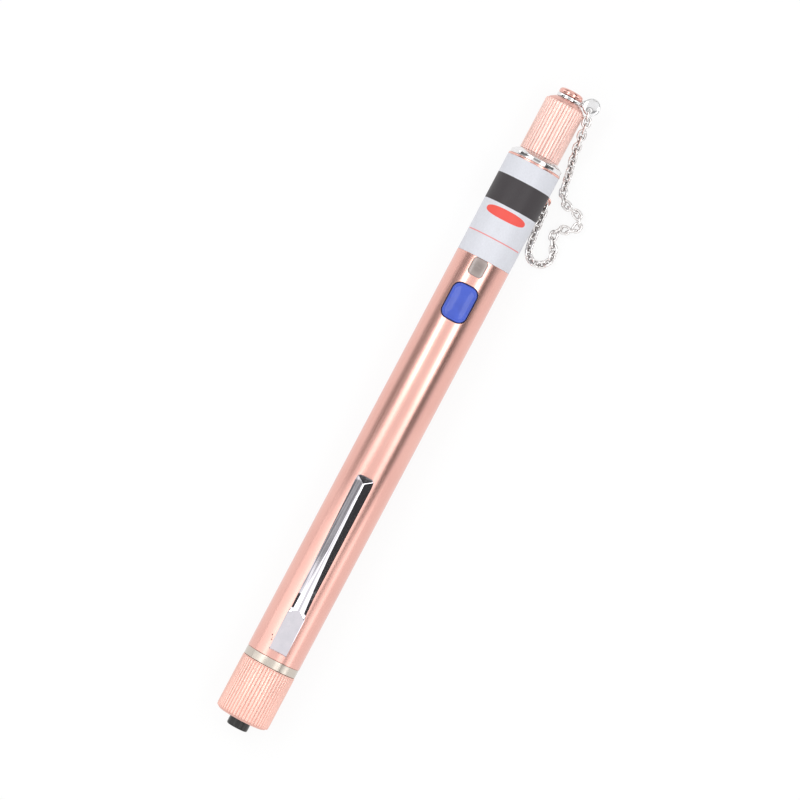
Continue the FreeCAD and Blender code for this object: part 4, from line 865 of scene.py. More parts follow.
class NodeGroup:
    """One geometry node tree with named inputs."""

    def __init__(self, name: str) -> None:
        """Start an empty tree with a geometry input and output.

        Args:
            name: The tree's name.
        """
        self.tree = bpy.data.node_groups.new(name, "GeometryNodeTree")
        self.tree.interface.new_socket("Geometry", in_out="INPUT", socket_type="NodeSocketGeometry")
        self.tree.interface.new_socket("Geometry", in_out="OUTPUT", socket_type="NodeSocketGeometry")
        self.inputs = self.add("NodeGroupInput")
        self.outputs = self.add("NodeGroupOutput")
        self.identifiers: dict[str, str] = {}

    def add(self, kind: str, **settings: object) -> bpy.types.Node:
        """Add a node and set its properties.

        Args:
            kind: The node's type.
            settings: Its properties by name.

        Returns:
            The new node.
        """
        node = self.tree.nodes.new(kind)
        for name, value in settings.items():
            setattr(node, name, value)
        return node

    def ask(self, name: str, kind: str) -> bpy.types.NodeSocket:
        """Add a named input.

        Args:
            name: The input's name.
            kind: Its type: Float, Int or Material.

        Returns:
            The socket that gives its value inside the tree.
        """
        socket = self.tree.interface.new_socket(name, in_out="INPUT", socket_type=f"NodeSocket{kind}")
        self.identifiers[name] = socket.identifier
        return self.inputs.outputs[name]

    def link(self, source: bpy.types.NodeSocket, target: bpy.types.NodeSocket) -> None:
        """Join an output to an input."""
        self.tree.links.new(source, target)

    def close(self, geometry: bpy.types.NodeSocket, material: bpy.types.NodeSocket) -> None:
        """End the tree: make instances real, set the material and give the geometry out.

        Args:
            geometry: What the tree has built.
            material: The material to set on it.
        """
        real = self.add("GeometryNodeRealizeInstances")
        paint = self.add("GeometryNodeSetMaterial")
        self.link(geometry, real.inputs[0])
        self.link(real.outputs[0], paint.inputs["Geometry"])
        self.link(material, paint.inputs["Material"])
        self.link(paint.outputs[0], self.outputs.inputs[0])

    def run(self, piece: bpy.types.Object, **values: object) -> bpy.types.Object:
        """Run the tree on a piece and keep the result as its plain mesh.

        Args:
            piece: The object whose mesh goes in.
            values: The named inputs' values, with _ for a space.

        Returns:
            The piece.
        """
        modifier = piece.modifiers.new(self.tree.name, "NODES")
        modifier.node_group = self.tree
        for name, value in values.items():
            modifier[self.identifiers[name.replace("_", " ")]] = value
        return baked(piece)


def rib_ring_tree() -> NodeGroup:
    """Build the tree that sets copies of one rib evenly round the pen's axis.

    Returns:
        The tree, with the inputs Rib Count and Finish.
    """
    group = NodeGroup("rib_ring")
    count = group.ask("Rib Count", "Int")
    finish = group.ask("Finish", "Material")
    points = group.add("GeometryNodePoints")
    group.link(count, points.inputs["Count"])
    index = group.add("GeometryNodeInputIndex")
    share = group.add("ShaderNodeMath", operation="DIVIDE")
    group.link(index.outputs[0], share.inputs[0])
    group.link(count, share.inputs[1])
    angle = group.add("ShaderNodeMath", operation="MULTIPLY")
    group.link(share.outputs[0], angle.inputs[0])
    angle.inputs[1].default_value = 2 * math.pi
    turn = group.add("ShaderNodeCombineXYZ")
    group.link(angle.outputs[0], turn.inputs["X"])
    copies = group.add("GeometryNodeInstanceOnPoints")
    group.link(points.outputs[0], copies.inputs["Points"])
    group.link(group.inputs.outputs["Geometry"], copies.inputs["Instance"])
    group.link(turn.outputs[0], copies.inputs["Rotation"])
    group.close(copies.outputs[0], finish)
    return group


def chain_tree() -> NodeGroup:
    """Build the tree that sets an oval link at every point of a mesh, turned as the points say.

    Returns:
        The tree, with the inputs Link Length, Link Width, Wire and Finish.
    """
    group = NodeGroup("chain_links")
    length = group.ask("Link Length", "Float")
    width = group.ask("Link Width", "Float")
    wire = group.ask("Wire", "Float")
    finish = group.ask("Finish", "Material")

    def less_wire(size: bpy.types.NodeSocket) -> bpy.types.NodeSocket:
        """Give a size along the middle of the wire.

        Args:
            size: The size over the wire.

        Returns:
            The size less one wire.
        """
        node = group.add("ShaderNodeMath", operation="SUBTRACT")
        group.link(size, node.inputs[0])
        group.link(wire, node.inputs[1])
        return node.outputs[0]

    def half(size: bpy.types.NodeSocket, share: float = 0.5) -> bpy.types.NodeSocket:
        """Give half of a size.

        Args:
            size: The size.
            share: How much of it to give.

        Returns:
            That share of the size.
        """
        node = group.add("ShaderNodeMath", operation="MULTIPLY")
        group.link(size, node.inputs[0])
        node.inputs[1].default_value = share
        return node.outputs[0]

    outline = group.add("GeometryNodeCurvePrimitiveQuadrilateral")
    group.link(less_wire(length), outline.inputs["Width"])
    group.link(less_wire(width), outline.inputs["Height"])
    bend = group.add("GeometryNodeFilletCurve", mode="POLY")
    bend.inputs["Count"].default_value = 6
    bend.inputs["Limit Radius"].default_value = True
    group.link(outline.outputs[0], bend.inputs["Curve"])
    # a hair under half, so that the two corners at each end never meet in one point
    group.link(half(less_wire(width), 0.498), bend.inputs["Radius"])
    section = group.add("GeometryNodeCurvePrimitiveCircle")
    section.inputs["Resolution"].default_value = 12
    group.link(half(wire), section.inputs["Radius"])
    solid = group.add("GeometryNodeCurveToMesh")
    group.link(bend.outputs[0], solid.inputs["Curve"])
    group.link(section.outputs[0], solid.inputs["Profile Curve"])
    shade = group.add("GeometryNodeSetShadeSmooth")
    group.link(solid.outputs[0], shade.inputs["Geometry"])
    turn = group.add("GeometryNodeInputNamedAttribute", data_type="FLOAT_VECTOR")
    turn.inputs["Name"].default_value = "link_turn"
    points = group.add("GeometryNodeMeshToPoints")
    group.link(group.inputs.outputs["Geometry"], points.inputs["Mesh"])
    copies = group.add("GeometryNodeInstanceOnPoints")
    group.link(points.outputs[0], copies.inputs["Points"])
    group.link(shade.outputs[0], copies.inputs["Instance"])
    group.link(turn.outputs["Attribute"], copies.inputs["Rotation"])
    group.close(copies.outputs[0], finish)
    return group


# The pen's sub-assemblies


@dataclass(frozen=True)
class Opening:
    """A rounded rectangle in the tube's top, or the piece that fills it."""

    centre: float
    length: float
    width: float
    corner: float


@dataclass(frozen=True)
class AnchorSeat:
    """Where the chain's eye is screwed into the tube's lower side."""

    place: float = -21.0
    angle: float = 33.0

    @property
    def foot(self) -> Vector:
        """Give the point on the pen's axis that the shank aims at."""
        return Vector((self.place, 0, 0))

    @property
    def out(self) -> Vector:
        """Give the direction out of the tube."""
        lean = math.radians(self.angle)
        return Vector((0, -math.cos(lean), -math.sin(lean)))

    @property
    def side(self) -> Vector:
        """Give the direction round the tube, square to the way out."""
        lean = math.radians(self.angle)
        return Vector((0, -math.sin(lean), math.cos(lean)))


ANCHOR = AnchorSeat()


@dataclass
class Barrel:
    """The tube with its openings, the collar at its head and the ring at its tail."""

    bore: float = 5.6
    joint_bore: float = 6.2
    joint_depth: float = 5.2
    label_ends: Point = (-41.2, -15.0)
    label_floor: float = 6.9
    film_wall: Point = (6.91, 6.99)
    film_gap: float = 0.02
    window: Opening = Opening(-43.5, 4.56, 4.0, 0.95)
    button_hole: Opening = Opening(-53.1, 9.8, 6.9, 2.2)
    anchor_hole: float = 0.82
    cut_heights: Point = (1.0, 9.0)
    drill_reaches: Point = (4.0, 9.0)
    collar: list[Point] = field(
        default_factory=lambda: [
            (-19.6, 4.15), (-19.6, 6.15), (-14.48, 6.15), (-14.48, 6.74), (-14.38, 6.85),
            (-13.35, 6.85), (-12.3, 5.3), (-12.3, 4.15),
        ]
    )
    ring: list[Point] = field(
        default_factory=lambda: [
            (-159.4, 5.5), (-159.4, 6.1), (-152.88, 6.1), (-152.88, 6.8), (-152.76, 6.93),
            (-150.74, 6.93), (-150.62, 6.8), (-150.62, 6.15), (-145.5, 6.15), (-145.5, 5.5),
        ]
    )

    def cutter(self, name: str, opening: Opening) -> bpy.types.Object:
        """Make an upright prism that cuts a rounded opening into the tube's top.

        Args:
            name: The cutter's name.
            opening: The opening to cut.

        Returns:
            The cutter.
        """
        outline = rounded_rectangle(opening.length, opening.width, opening.corner, 10)
        rings = [
            [Vector((opening.centre + x, y, height)) for x, y in outline] for height in self.cut_heights
        ]
        return ring_mesh(name, rings, False)

    def anchor_cutter(self) -> bpy.types.Object:
        """Make the round bar that cuts the anchor's hole into the tube's lower side.

        Returns:
            The cutter.
        """
        rings = [
            circle(ANCHOR.foot + ANCHOR.out * reach, ALONG, -ANCHOR.side, self.anchor_hole, 32)
            for reach in self.drill_reaches
        ]
        return ring_mesh("anchor_cutter", rings, False)

    def build_tube(self, finishes: Finishes) -> bpy.types.Object:
        """Turn the tube and cut its openings.

        Args:
            finishes: The pen's finishes.

        Returns:
            The finished tube.
        """
        rear, front = TUBE_REAR, TUBE_FRONT
        low, high = self.label_ends
        tube = lathe(
            "barrel",
            [
                (rear, self.joint_bore), (rear, TUBE_RADIUS), (low, TUBE_RADIUS), (low, self.label_floor),
                (high, self.label_floor), (high, TUBE_RADIUS), (front, TUBE_RADIUS), (front, self.joint_bore),
                (front - self.joint_depth, self.joint_bore), (front - self.joint_depth, self.bore),
                (rear + self.joint_depth, self.bore), (rear + self.joint_depth, self.joint_bore),
            ],
            160,
        )
        cutters = [
            self.cutter("window_cutter", self.window),
            self.cutter("button_cutter", self.button_hole),
            self.anchor_cutter(),
        ]
        for cutter in cutters:
            modifier = tube.modifiers.new(cutter.name, "BOOLEAN")
            modifier.object = cutter
            modifier.operation = "DIFFERENCE"
            modifier.solver = "EXACT"
        baked(tube)
        for cutter in cutters:
            bpy.data.objects.remove(cutter)
        smooth(tube, 32.0)
        return dress(tube, finishes.tube, Body.PEN, Slot.ROSE_GOLD, "barrel_tube")

    def build(self, finishes: Finishes) -> None:
        """Build the tube, its film, the collar and the tail ring.

        Args:
            finishes: The pen's finishes.
        """
        self.build_tube(finishes)
        low, high = self.label_ends[0] + self.film_gap, self.label_ends[1] - self.film_gap
        inner, outer = self.film_wall
        film = lathe("label", [(low, inner), (low, outer), (high, outer), (high, inner)], 160, 0.03)
        dress(film, finishes.label, Body.PEN, Slot.LABEL_FILM, "label_sleeve")
        dress(lathe("collar", self.collar, 128, 0.1), finishes.chrome, Body.PEN, Slot.CHROME, "head_collar")
        dress(lathe("joint_ring", self.ring, 128, 0.05), finishes.nickel, Body.PEN, Slot.NICKEL, "tail_ring")


@dataclass
class ControlWindow:
    """The grey lens and the blue push button in the tube's top."""

    lens: Opening = Opening(-43.5, 4.5, 3.94, 0.92)
    lens_top: float = 6.98
    lens_base: float = 4.8
    button: Opening = Opening(-53.1, 9.4, 6.5, 2.0)
    button_top: float = 7.45
    flange: Point = (3.17, 3.87)
    least_corner: float = 0.12

    def crowned(self, name: str, place: Opening, rings: list[Point]) -> bpy.types.Object:
        """Loft rounded rectangles whose points lie on cylinders about the pen's axis.

        Args:
            name: The piece's name.
            place: The opening that it fills.
            rings: For each ring, how far it is drawn in and its radius, or minus its flat height.

        Returns:
            The new piece.
        """
        made = []
        for inset, radius in rings:
            corner = max(place.corner - inset, self.least_corner)
            ring = []
            for x, y in rounded_rectangle(place.length - 2 * inset, place.width - 2 * inset, corner):
                height = math.sqrt(radius * radius - y * y) if radius > 0 else -radius
                ring.append(Vector((place.centre + x, y, height)))
            made.append(ring)
        return ring_mesh(name, made, False, 40.0)

    def build(self, finishes: Finishes) -> None:
        """Build the lens and the button.

        Args:
            finishes: The pen's finishes.
        """
        top = self.lens_top
        lens = self.crowned(
            "window_lens",
            self.lens,
            [
                (0.0, -self.lens_base), (0.0, top - 0.12), (0.03, top - 0.04), (0.12, top),
                (0.6, top), (1.2, top), (1.7, top),
            ],
        )
        dress(lens, finishes.window, Body.PEN, Slot.SMOKED_LENS, "indicator_window")
        crown = self.button_top
        low, high = self.flange
        button = self.crowned(
            "push_button",
            self.button,
            [
                (-0.75, -low), (-0.75, -high), (0.05, -high), (0.05, crown - 0.5), (0.09, crown - 0.3),
                (0.2, crown - 0.13), (0.36, crown - 0.03), (0.48, crown), (0.6, crown - 0.02),
                (0.74, crown - 0.1), (0.86, crown - 0.13), (1.2, crown - 0.11), (1.8, crown - 0.07),
                (2.4, crown - 0.05), (2.9, crown - 0.045),
            ],
        )
        dress(button, finishes.button, Body.SIDE_BUTTON, Slot.BLUE_PLASTIC, "side_button")


@dataclass
class RibbedCap:
    """A turned cap with straight ribs set round it."""

    FOOT_SHARE: ClassVar[float] = 0.43
    CREST_SHARE: ClassVar[float] = 0.17
    END_RISE: ClassVar[float] = 0.35

    name: str
    node: str
    body: Body
    core: list[Point]
    radius: float
    depth: float
    count: int
    ends: Point
    run_out: Point

    def rib(self) -> bpy.types.Object:
        """Make the top rib: a long bar with sloped sides, soft edges and ends that run out.

        Returns:
            The rib.
        """
        pitch = 2 * math.pi * self.radius / self.count
        foot, crest = pitch * self.FOOT_SHARE, pitch * self.CREST_SHARE
        half = [(foot, -0.06), (foot * 0.93, 0.0), (crest * 1.25, self.depth * 0.88), (crest * 0.6, self.depth)]
        section = [(-y, z) for y, z in half] + half[::-1]
        floor = self.radius - self.depth
        low, high = self.ends
        before, after = self.run_out
        stations = ((low, self.END_RISE), (low + before, 1.0), (high - after, 1.0), (high, self.END_RISE))
        rings = []
        for along, rise in stations:
            seats = [math.sqrt(max(floor * floor - y * y, 0)) for y, _ in section]
            rings.append([Vector((along, y, seat + z * rise)) for (y, z), seat in zip(section, seats)])
        return ring_mesh(f"{self.name}_ribs", rings, False, 50.0)

    def build(self, finish: bpy.types.Material, tree: NodeGroup) -> None:
        """Turn the core and set the ribs round it.

        Args:
            finish: The cap's finish.
            tree: The tree that repeats a rib.
        """
        core = lathe(self.name, self.core, 144, 0.12)
        dress(core, finish, self.body, Slot.ROSE_GOLD, self.node)
        ribs = tree.run(self.rib(), Rib_Count=self.count, Finish=finish)
        dress(ribs, finish, self.body, Slot.ROSE_GOLD)


@dataclass
class HeadCap:
    """The dust cap with its rivet and the swivel ring that the chain hangs from."""

    rim: float = -12.25
    top: float = 2.88
    ring_place: float = 3.45
    ring_radius: float = 3.2
    ring_half: float = 0.4
    ring_bore: float = 1.6
    lug_place: Point = (4.25, -5.85)
    lug_radius: float = 2.2
    hole_place: Point = (3.35, -5.85)
    hole_radius: float = 0.6
    neck_span: Point = (2.82, 4.1)
    neck_size: Point = (2.0, 0.7)
    neck_lean: float = 0.8

    def cap(self) -> RibbedCap:
        """Describe the dust cap.

        Returns:
            The cap's sizes.
        """
        return RibbedCap(
            name="cap_shell",
            node="dust_cap",
            body=Body.DUST_CAP,
            core=[
                (self.rim, 4.35), (self.rim, 4.995),
                (1.25, 4.995), (1.34, 5.06), (2.17, 4.48), (self.top, 3.4), (self.top, 0.85),
                (1.68, 0.85), (1.68, 4.35),
            ],
            radius=5.175,
            depth=0.13,
            count=36,
            ends=(self.rim, 1.62),
            run_out=(0.06, 0.5),
        )

    def rivet(self) -> bpy.types.Object:
        """Turn the rivet: a round head with a shallow dish, a neck, a shank and an upset tail.

        Returns:
            The rivet.
        """
        return lathe(
            "rivet",
            [
                (1.08, 0.0), (1.08, 1.9), (1.66, 1.9), (1.66, 0.8), (2.9, 0.8), (2.9, 1.5), (4.02, 1.5),
                (4.02, 2.95), (4.2, 3.1), (4.85, 3.1), (5.25, 2.9), (5.5, 2.3), (5.46, 1.2), (5.42, 0.0),
            ],
            96,
            0.14,
        )

    def ring_with_lug(self) -> bpy.types.Object:
        """Make the washer, the twisted neck and the round lug with its hole, as one mesh.

        Returns:
            The ring with its lug.
        """
        rear, front = self.ring_place - self.ring_half, self.ring_place + self.ring_half
        inner, outer = self.ring_bore, self.ring_radius
        profile = [(rear, inner), (rear, outer), (front, outer), (front, inner)]
        washer = lathe("swivel", profile, 96, 0.1)
        parts = [washer, self.neck(), self.lug()]
        mesh = bmesh.new()
        for part in parts:
            mesh.from_mesh(part.data)
            bpy.data.objects.remove(part)
        return finish_mesh("swivel_lug", mesh, 40.0)

    def neck(self) -> bpy.types.Object:
        """Loft the neck from the washer's plane to the lug's, a quarter turn on.

        Returns:
            The neck.
        """
        near, far = self.neck_span
        steps = 10
        rings = []
        for step in range(steps + 1):
            share = step / steps
            turn = math.radians(90 * (1 - share))
            reach = near + (far - near) * share
            lean = self.neck_lean * share**0.7
            ring = []
            for across, through in rounded_rectangle(*self.neck_size, 0.2, 3):
                x = across * math.cos(turn) - through * math.sin(turn)
                z = across * math.sin(turn) + through * math.cos(turn)
                ring.append(Vector((self.ring_place + lean + x, -reach, z)))
            rings.append(ring)
        return ring_mesh("neck", rings, False)

    def lug(self) -> bpy.types.Object:
        """Make the round plate with its soft edges and the hole near its rear edge.

        Returns:
            The lug.
        """
        half = self.ring_half
        lug, hole = Vector((*self.lug_place, 0)), Vector((*self.hole_place, 0))
        outer, inner = self.lug_radius, self.hole_radius
        rows = [
            (lug, outer - 0.34, half), (lug, outer - 0.12, half - 0.12), (lug, outer, half - 0.32),
            (lug, outer, -half + 0.2), (lug, outer - 0.05, -half + 0.06), (lug, outer - 0.16, -half),
            (hole, inner + 0.12, -half), (hole, inner + 0.03, -half + 0.05), (hole, inner, -half + 0.14),
            (hole, inner, half - 0.1), (hole, inner + 0.06, half),
        ]
        rings = [
            circle(centre + UP * height, ALONG, ASIDE, radius, 64) for centre, radius, height in rows
        ]
        return ring_mesh("lug", rings, True)

    def build(self, finishes: Finishes, tree: NodeGroup) -> None:
        """Build the cap, the rivet and the swivel ring.

        Args:
            finishes: The pen's finishes.
            tree: The tree that repeats a rib.
        """
        self.cap().build(finishes.cap, tree)
        dress(self.rivet(), finishes.rivet, Body.DUST_CAP, Slot.ROSE_GOLD, "cap_rivet")
        dress(self.ring_with_lug(), finishes.chrome, Body.SWIVEL_RING, Slot.CHROME, "swivel_ring")


@dataclass
class Tail:
    """The ribbed tail cap and its black push button."""

    front: float = -152.92
    rear: float = -167.6
    button_end: float = -170.0
    button_radius: float = 2.75
    flange: Point = (-166.18, -165.4)
    flange_radius: float = 4.0

    def cap(self) -> RibbedCap:
        """Describe the tail cap.

        Returns:
            The cap's sizes.
        """
        return RibbedCap(
            name="tail_shell",
            node="tail_cap",
            body=Body.TAIL_CAP,
            core=[
                (self.rear, 2.85), (self.rear, 5.8), (self.rear + 0.22, 6.35), (self.rear + 0.7, 6.81),
                (self.front - 0.3, 6.81), (self.front - 0.24, 6.98), (self.front, 6.98), (self.front, 6.2),
                (self.front - 6.98, 6.2), (self.front - 6.98, 5.2), (self.front - 11.18, 5.2),
                (self.front - 11.18, 4.3), (self.front - 13.28, 4.3), (self.front - 13.28, 2.85),
            ],
            radius=7.0,
            depth=0.14,
            count=50,
            ends=(self.rear + 0.62, self.front - 0.24),
            run_out=(0.75, 0.1),
        )

    def button(self) -> bpy.types.Object:
        """Turn the button: a soft-edged stem over its hidden flange.

        Returns:
            The button.
        """
        end, radius = self.button_end, self.button_radius
        rear, front = self.flange
        profile = [
            (end + 0.12, 0.0), (end + 0.08, 1.6), (end, 2.1), (end + 0.03, radius - 0.2), (end + 0.3, radius),
            (rear, radius), (rear, self.flange_radius), (front, self.flange_radius), (front, 0.0),
        ]
        return lathe("tail_push", profile, 96, 0.12)

    def build(self, finishes: Finishes, tree: NodeGroup) -> None:
        """Build the cap and the button.

        Args:
            finishes: The pen's finishes.
            tree: The tree that repeats a rib.
        """
        self.cap().build(finishes.tail, tree)
        dress(self.button(), finishes.black, Body.TAIL_BUTTON, Slot.BLACK_PLASTIC, "tail_button")


@dataclass(frozen=True)
class ClipFold:
    """One section of the clip: half sizes across, the top's height and how steeply each slope falls."""

    along: float
    flat: float
    right: float
    left: float
    wide: float
    top: float
    inner_slope: float = 0.275
    outer_slope: float = 0.51

    def heights(self, shoulder: float) -> Point:
        """Give the heights at a shoulder and at the strip's edge on its side."""
        bend = self.top - (shoulder - self.flat) * self.inner_slope
        return bend, bend - (self.wide - shoulder) * self.outer_slope


@dataclass
class PocketClip:
    """The folded strip: a flat pad with a pointed arch, a ridged arm and a V-shaped toe."""

    pad_end: float = -148.7
    pad_front: float = -138.7
    toe: float = -101.0
    pad_shift: float = 0.75
    thickness: float = 0.6
    seat_gap: float = 0.02
    under_gap: float = 0.03
    under_share: float = 0.8
    folds: list[ClipFold] = field(
        default_factory=lambda: [
            ClipFold(-148.7, 2.055, 2.19, 2.19, 2.325, 7.63, 0.0, 0.0),
            ClipFold(-148.43, 2.055, 2.19, 2.19, 2.325, 7.9, 1.0, 1.0),
            ClipFold(-138.8, 2.055, 2.19, 2.19, 2.325, 7.9, 1.0, 1.0),
            ClipFold(-138.42, 1.84, 2.07, 2.07, 2.25, 7.92, 0.3, 0.55),
            ClipFold(-138.05, 1.44, 1.9, 1.9, 2.19, 7.96, 0.28),
            ClipFold(-137.68, 0.92, 1.68, 1.68, 2.12, 8.04),
            ClipFold(-137.3, 0.31, 1.45, 1.45, 2.05, 8.12),
            ClipFold(-133.4, 0.28, 1.24, 1.28, 2.0, 9.42),
            ClipFold(-132.7, 0.27, 1.21, 1.26, 2.0, 9.62),
            ClipFold(-132.0, 0.27, 1.18, 1.2, 2.0, 9.72),
            ClipFold(-131.2, 0.25, 1.08, 1.1, 2.01, 9.725),
            ClipFold(-121.0, 0.14, 0.6, 0.28, 2.11, 9.5),
            ClipFold(-102.8, 0.05, 0.3, 0.14, 2.3, 9.1),
            ClipFold(-101.45, 1.92, 2.08, 2.08, 2.15, 8.3, 0.5, 1.0),
            ClipFold(-101.0, 1.5, 1.6, 1.6, 1.7, 8.05, 0.5, 1.0),
        ]
    )

    def section(self, fold: ClipFold) -> list[Vector]:
        """Give one section's points, set off sideways as the strip is a little askew.

        Args:
            fold: The section's sizes.

        Returns:
            Its points in order, from the right edge's foot over the top to the underside.
        """
        middle = -self.pad_shift * (self.toe - fold.along) / (self.toe - self.pad_end)
        seated = fold.along < self.pad_front
        sides = []
        for sign, shoulder in ((-1, fold.right), (1, fold.left)):
            bend, edge = fold.heights(shoulder)
            across = middle + sign * fold.wide
            seat = math.sqrt(TUBE_RADIUS**2 - across**2) + self.seat_gap
            foot = seat if seated else edge - self.thickness
            sides.append(
                [
                    (across, foot), (across, edge), (middle + sign * shoulder, bend),
                    (middle + sign * fold.flat, fold.top),
                ]
            )
        under = TUBE_RADIUS + self.under_gap if seated else fold.top - self.thickness
        half = fold.flat * self.under_share
        below = [(middle + half, under), (middle - half, under)]
        return [Vector((fold.along, y, z)) for y, z in sides[0] + sides[1][::-1] + below]

    def build(self, finishes: Finishes) -> None:
        """Loft the strip through its sections, with its folds crisp along it.

        Args:
            finishes: The pen's finishes.
        """
        clip = ring_mesh("clip", [self.section(fold) for fold in self.folds], False)
        mesh = bmesh.new()
        mesh.from_mesh(clip.data)
        for edge in mesh.edges:
            first, last = (vertex.co.x for vertex in edge.verts)
            runs_along = abs(first - last) > 0.1 * MM
            edge.smooth = not runs_along and edge.calc_face_angle(math.pi) < math.radians(12)
        mesh.to_mesh(clip.data)
        mesh.free()
        dress(clip, finishes.clip, Body.PEN, Slot.CHROME, "pocket_clip")


@dataclass
class SafetyChain:
    """The chain of oval links, set link by link where the solid chain has them, and its anchor."""

    # the attribute that holds how much painted shade each point of the links gets
    CREVICE_SHADE: ClassVar[str] = "crevice_shade"

    link_length: float = 3.2
    link_width: float = 2.5
    wire: float = 0.72
    lift: tuple[float, float, float] = (0.0, 0.05, 0.07)
    look_reach: float = 1.3
    look_lift: float = 0.03
    bend_start: float = -0.02
    bend_end: float = -0.001
    eye_reach: float = 8.0
    eye_radius: float = 1.1
    eye_hole: float = 0.55
    eye_half: float = 0.4

    def link_places(self) -> list[tuple[Vector, Euler]]:
        """Read each link's centre and turn from the solid chain.

        Returns:
            One centre and turn for each link, in metres and radians.
        """
        mesh = bmesh.new()
        mesh.from_mesh(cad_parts["safety_chain"].data)
        bmesh.ops.remove_doubles(mesh, verts=mesh.verts, dist=1e-6)
        seen = set()
        places = []
        for seed in mesh.verts:
            if seed in seen:
                continue
            seen.add(seed)
            island = [seed]
            for vertex in island:
                beside = (edge.other_vert(vertex) for edge in vertex.link_edges)
                fresh = [other for other in beside if other not in seen]
                seen.update(fresh)
                island.extend(fresh)
            points = np.array([tuple(vertex.co) for vertex in island])
            centre = points.mean(axis=0)
            spread = np.linalg.eigh(np.cov((points - centre).T))[1]
            along, across = Vector(spread[:, 2]), Vector(spread[:, 1])
            normal = along.cross(across)
            turn = Matrix((along, across, normal)).transposed().to_euler()
            places.append((Vector(centre) + Vector(self.lift) * MM, turn))
        mesh.free()
        return places

    def mark_crevice_shade(self, chain: bpy.types.Object) -> None:
        """Note at each point of the links how much of its view the links beside it close off, which the chain's
        finish paints as shade.

        Args:
            chain: The finished links.
        """
        mesh = chain.data
        places = [vertex.co.copy() for vertex in mesh.vertices]
        surface = BVHTree.FromPolygons(places, [tuple(face.vertices) for face in mesh.polygons])
        looks = [
            Vector((math.cos(turn) * math.sin(tilt), math.sin(turn) * math.sin(tilt), math.cos(tilt)))
            for tilt, steps in ((0.0, 1), (0.55, 6), (1.05, 8))
            for turn in (2 * math.pi * step / steps for step in range(steps))
        ]
        shares = []
        for vertex in mesh.vertices:
            basis = vertex.normal.to_track_quat("Z", "Y")
            start = vertex.co + vertex.normal * self.look_lift * MM
            blocked = sum(
                surface.ray_cast(start, basis @ look, self.look_reach * MM)[0] is not None for look in looks
            )
            shares.append(blocked / len(looks))
        mesh.attributes.new(self.CREVICE_SHADE, "FLOAT", "POINT").data.foreach_set("value", shares)

    def build_chain(self, finishes: Finishes, tree: NodeGroup) -> None:
        """Set the links where the solid chain has them, between the pen and the swivel ring.

        Args:
            finishes: The pen's finishes.
            tree: The tree that sets a link.
        """
        places = self.link_places()
        points = bpy.data.meshes.new("chain")
        points.from_pydata([tuple(centre) for centre, _ in places], [], [])
        turns = points.attributes.new("link_turn", "FLOAT_VECTOR", "POINT")
        turns.data.foreach_set("vector", [angle for _, turn in places for angle in turn])
        chain = bpy.data.objects.new("chain", points)
        bpy.context.scene.collection.objects.link(chain)
        tree.run(
            chain,
            Link_Length=self.link_length * MM,
            Link_Width=self.link_width * MM,
            Wire=self.wire * MM,
            Finish=finishes.chain,
        )
        chain.data.materials.clear()
        chain.data.materials.append(finishes.chain)
        self.mark_crevice_shade(chain)
        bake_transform(chain)
        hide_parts("safety_chain")
        LOG.info("chain: %d links, %d faces", len(places), len(chain.data.polygons))

    def build_anchor(self, finishes: Finishes) -> None:
        """Build the screwed shank with its collar and eye.

        Args:
            finishes: The pen's finishes.
        """
        foot, out, side = ANCHOR.foot, ANCHOR.out, ANCHOR.side
        profile = [
            (5.6, 0.8), (7.02, 0.8), (7.02, 1.1), (7.24, 1.1), (7.32, 1.0), (7.34, 0.75), (7.4, 0.62),
        ]
        rings = [circle(foot + out * reach, ALONG, side, radius, 32) for reach, radius in profile]
        shank = ring_mesh("shank", rings, False)
        middle = foot + out * self.eye_reach
        half, outer, inner = self.eye_half, self.eye_radius, self.eye_hole
        rows = [
            (outer - 0.12, half), (outer - 0.03, half - 0.06), (outer, half - 0.16),
            (outer, -half + 0.16), (outer - 0.03, -half + 0.06), (outer - 0.12, -half),
            (inner + 0.1, -half), (inner, -half + 0.1), (inner, half - 0.1), (inner + 0.1, half),
        ]
        rings = [circle(middle + side * height, out, ALONG, radius, 40) for radius, height in rows]
        loop = ring_mesh("eye", rings, True)
        mesh = bmesh.new()
        for part in (shank, loop):
            mesh.from_mesh(part.data)
            bpy.data.objects.remove(part)
        anchor = finish_mesh("anchor", mesh, 40.0)
        dress(anchor, finishes.rivet, Body.PEN, Slot.ROSE_GOLD, "chain_anchor")

    def build(self, finishes: Finishes, tree: NodeGroup) -> None:
        """Build the chain and its anchor."""
        self.build_chain(finishes, tree)
        self.build_anchor(finishes)


class InnerParts:
    """The parts inside the pen, which keep their solids and get their finishes."""

    def paint(self, finishes: Finishes) -> None:
        """Give each inner solid its finish.

        Args:
            finishes: The pen's finishes.
        """
        plan = {
            "adapter_barrel": finishes.nickel,
            "ferrule_sleeve": finishes.ceramic,
            "laser_housing": finishes.brass,
            "focusing_lens": finishes.glass,
            "lens_retainer": finishes.brass,
            "laser_diode": finishes.nickel,
            "circuit_board": finishes.board,
            "board_cradle": finishes.black,
            "front_contact": finishes.nickel,
            "mode_switch": finishes.black,
            "switch_plunger": finishes.white,
            "indicator_led": finishes.white,
            "driver_chip": finishes.black,
            "battery_rear": finishes.cell,
            "battery_front": finishes.cell,
            "switch_retainer": finishes.nickel,
            "tail_switch": finishes.black,
            "tail_switch_plunger": finishes.white,
            "battery_spring": finishes.spring,
            "cap_liner": finishes.liner,
        }
        for name, material in plan.items():
            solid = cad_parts[name]
            for slot in solid.material_slots:
                slot.material = material
            LOG.info("%s keeps its solid", name)


# Studio


@dataclass(frozen=True)
class SoftPanels:
    """A pair of soft panels that face the pen from both sides; places are metres from the pen's origin."""

    name: str
    along: float
    aside: float
    height: float
    size: Point
    glow: float


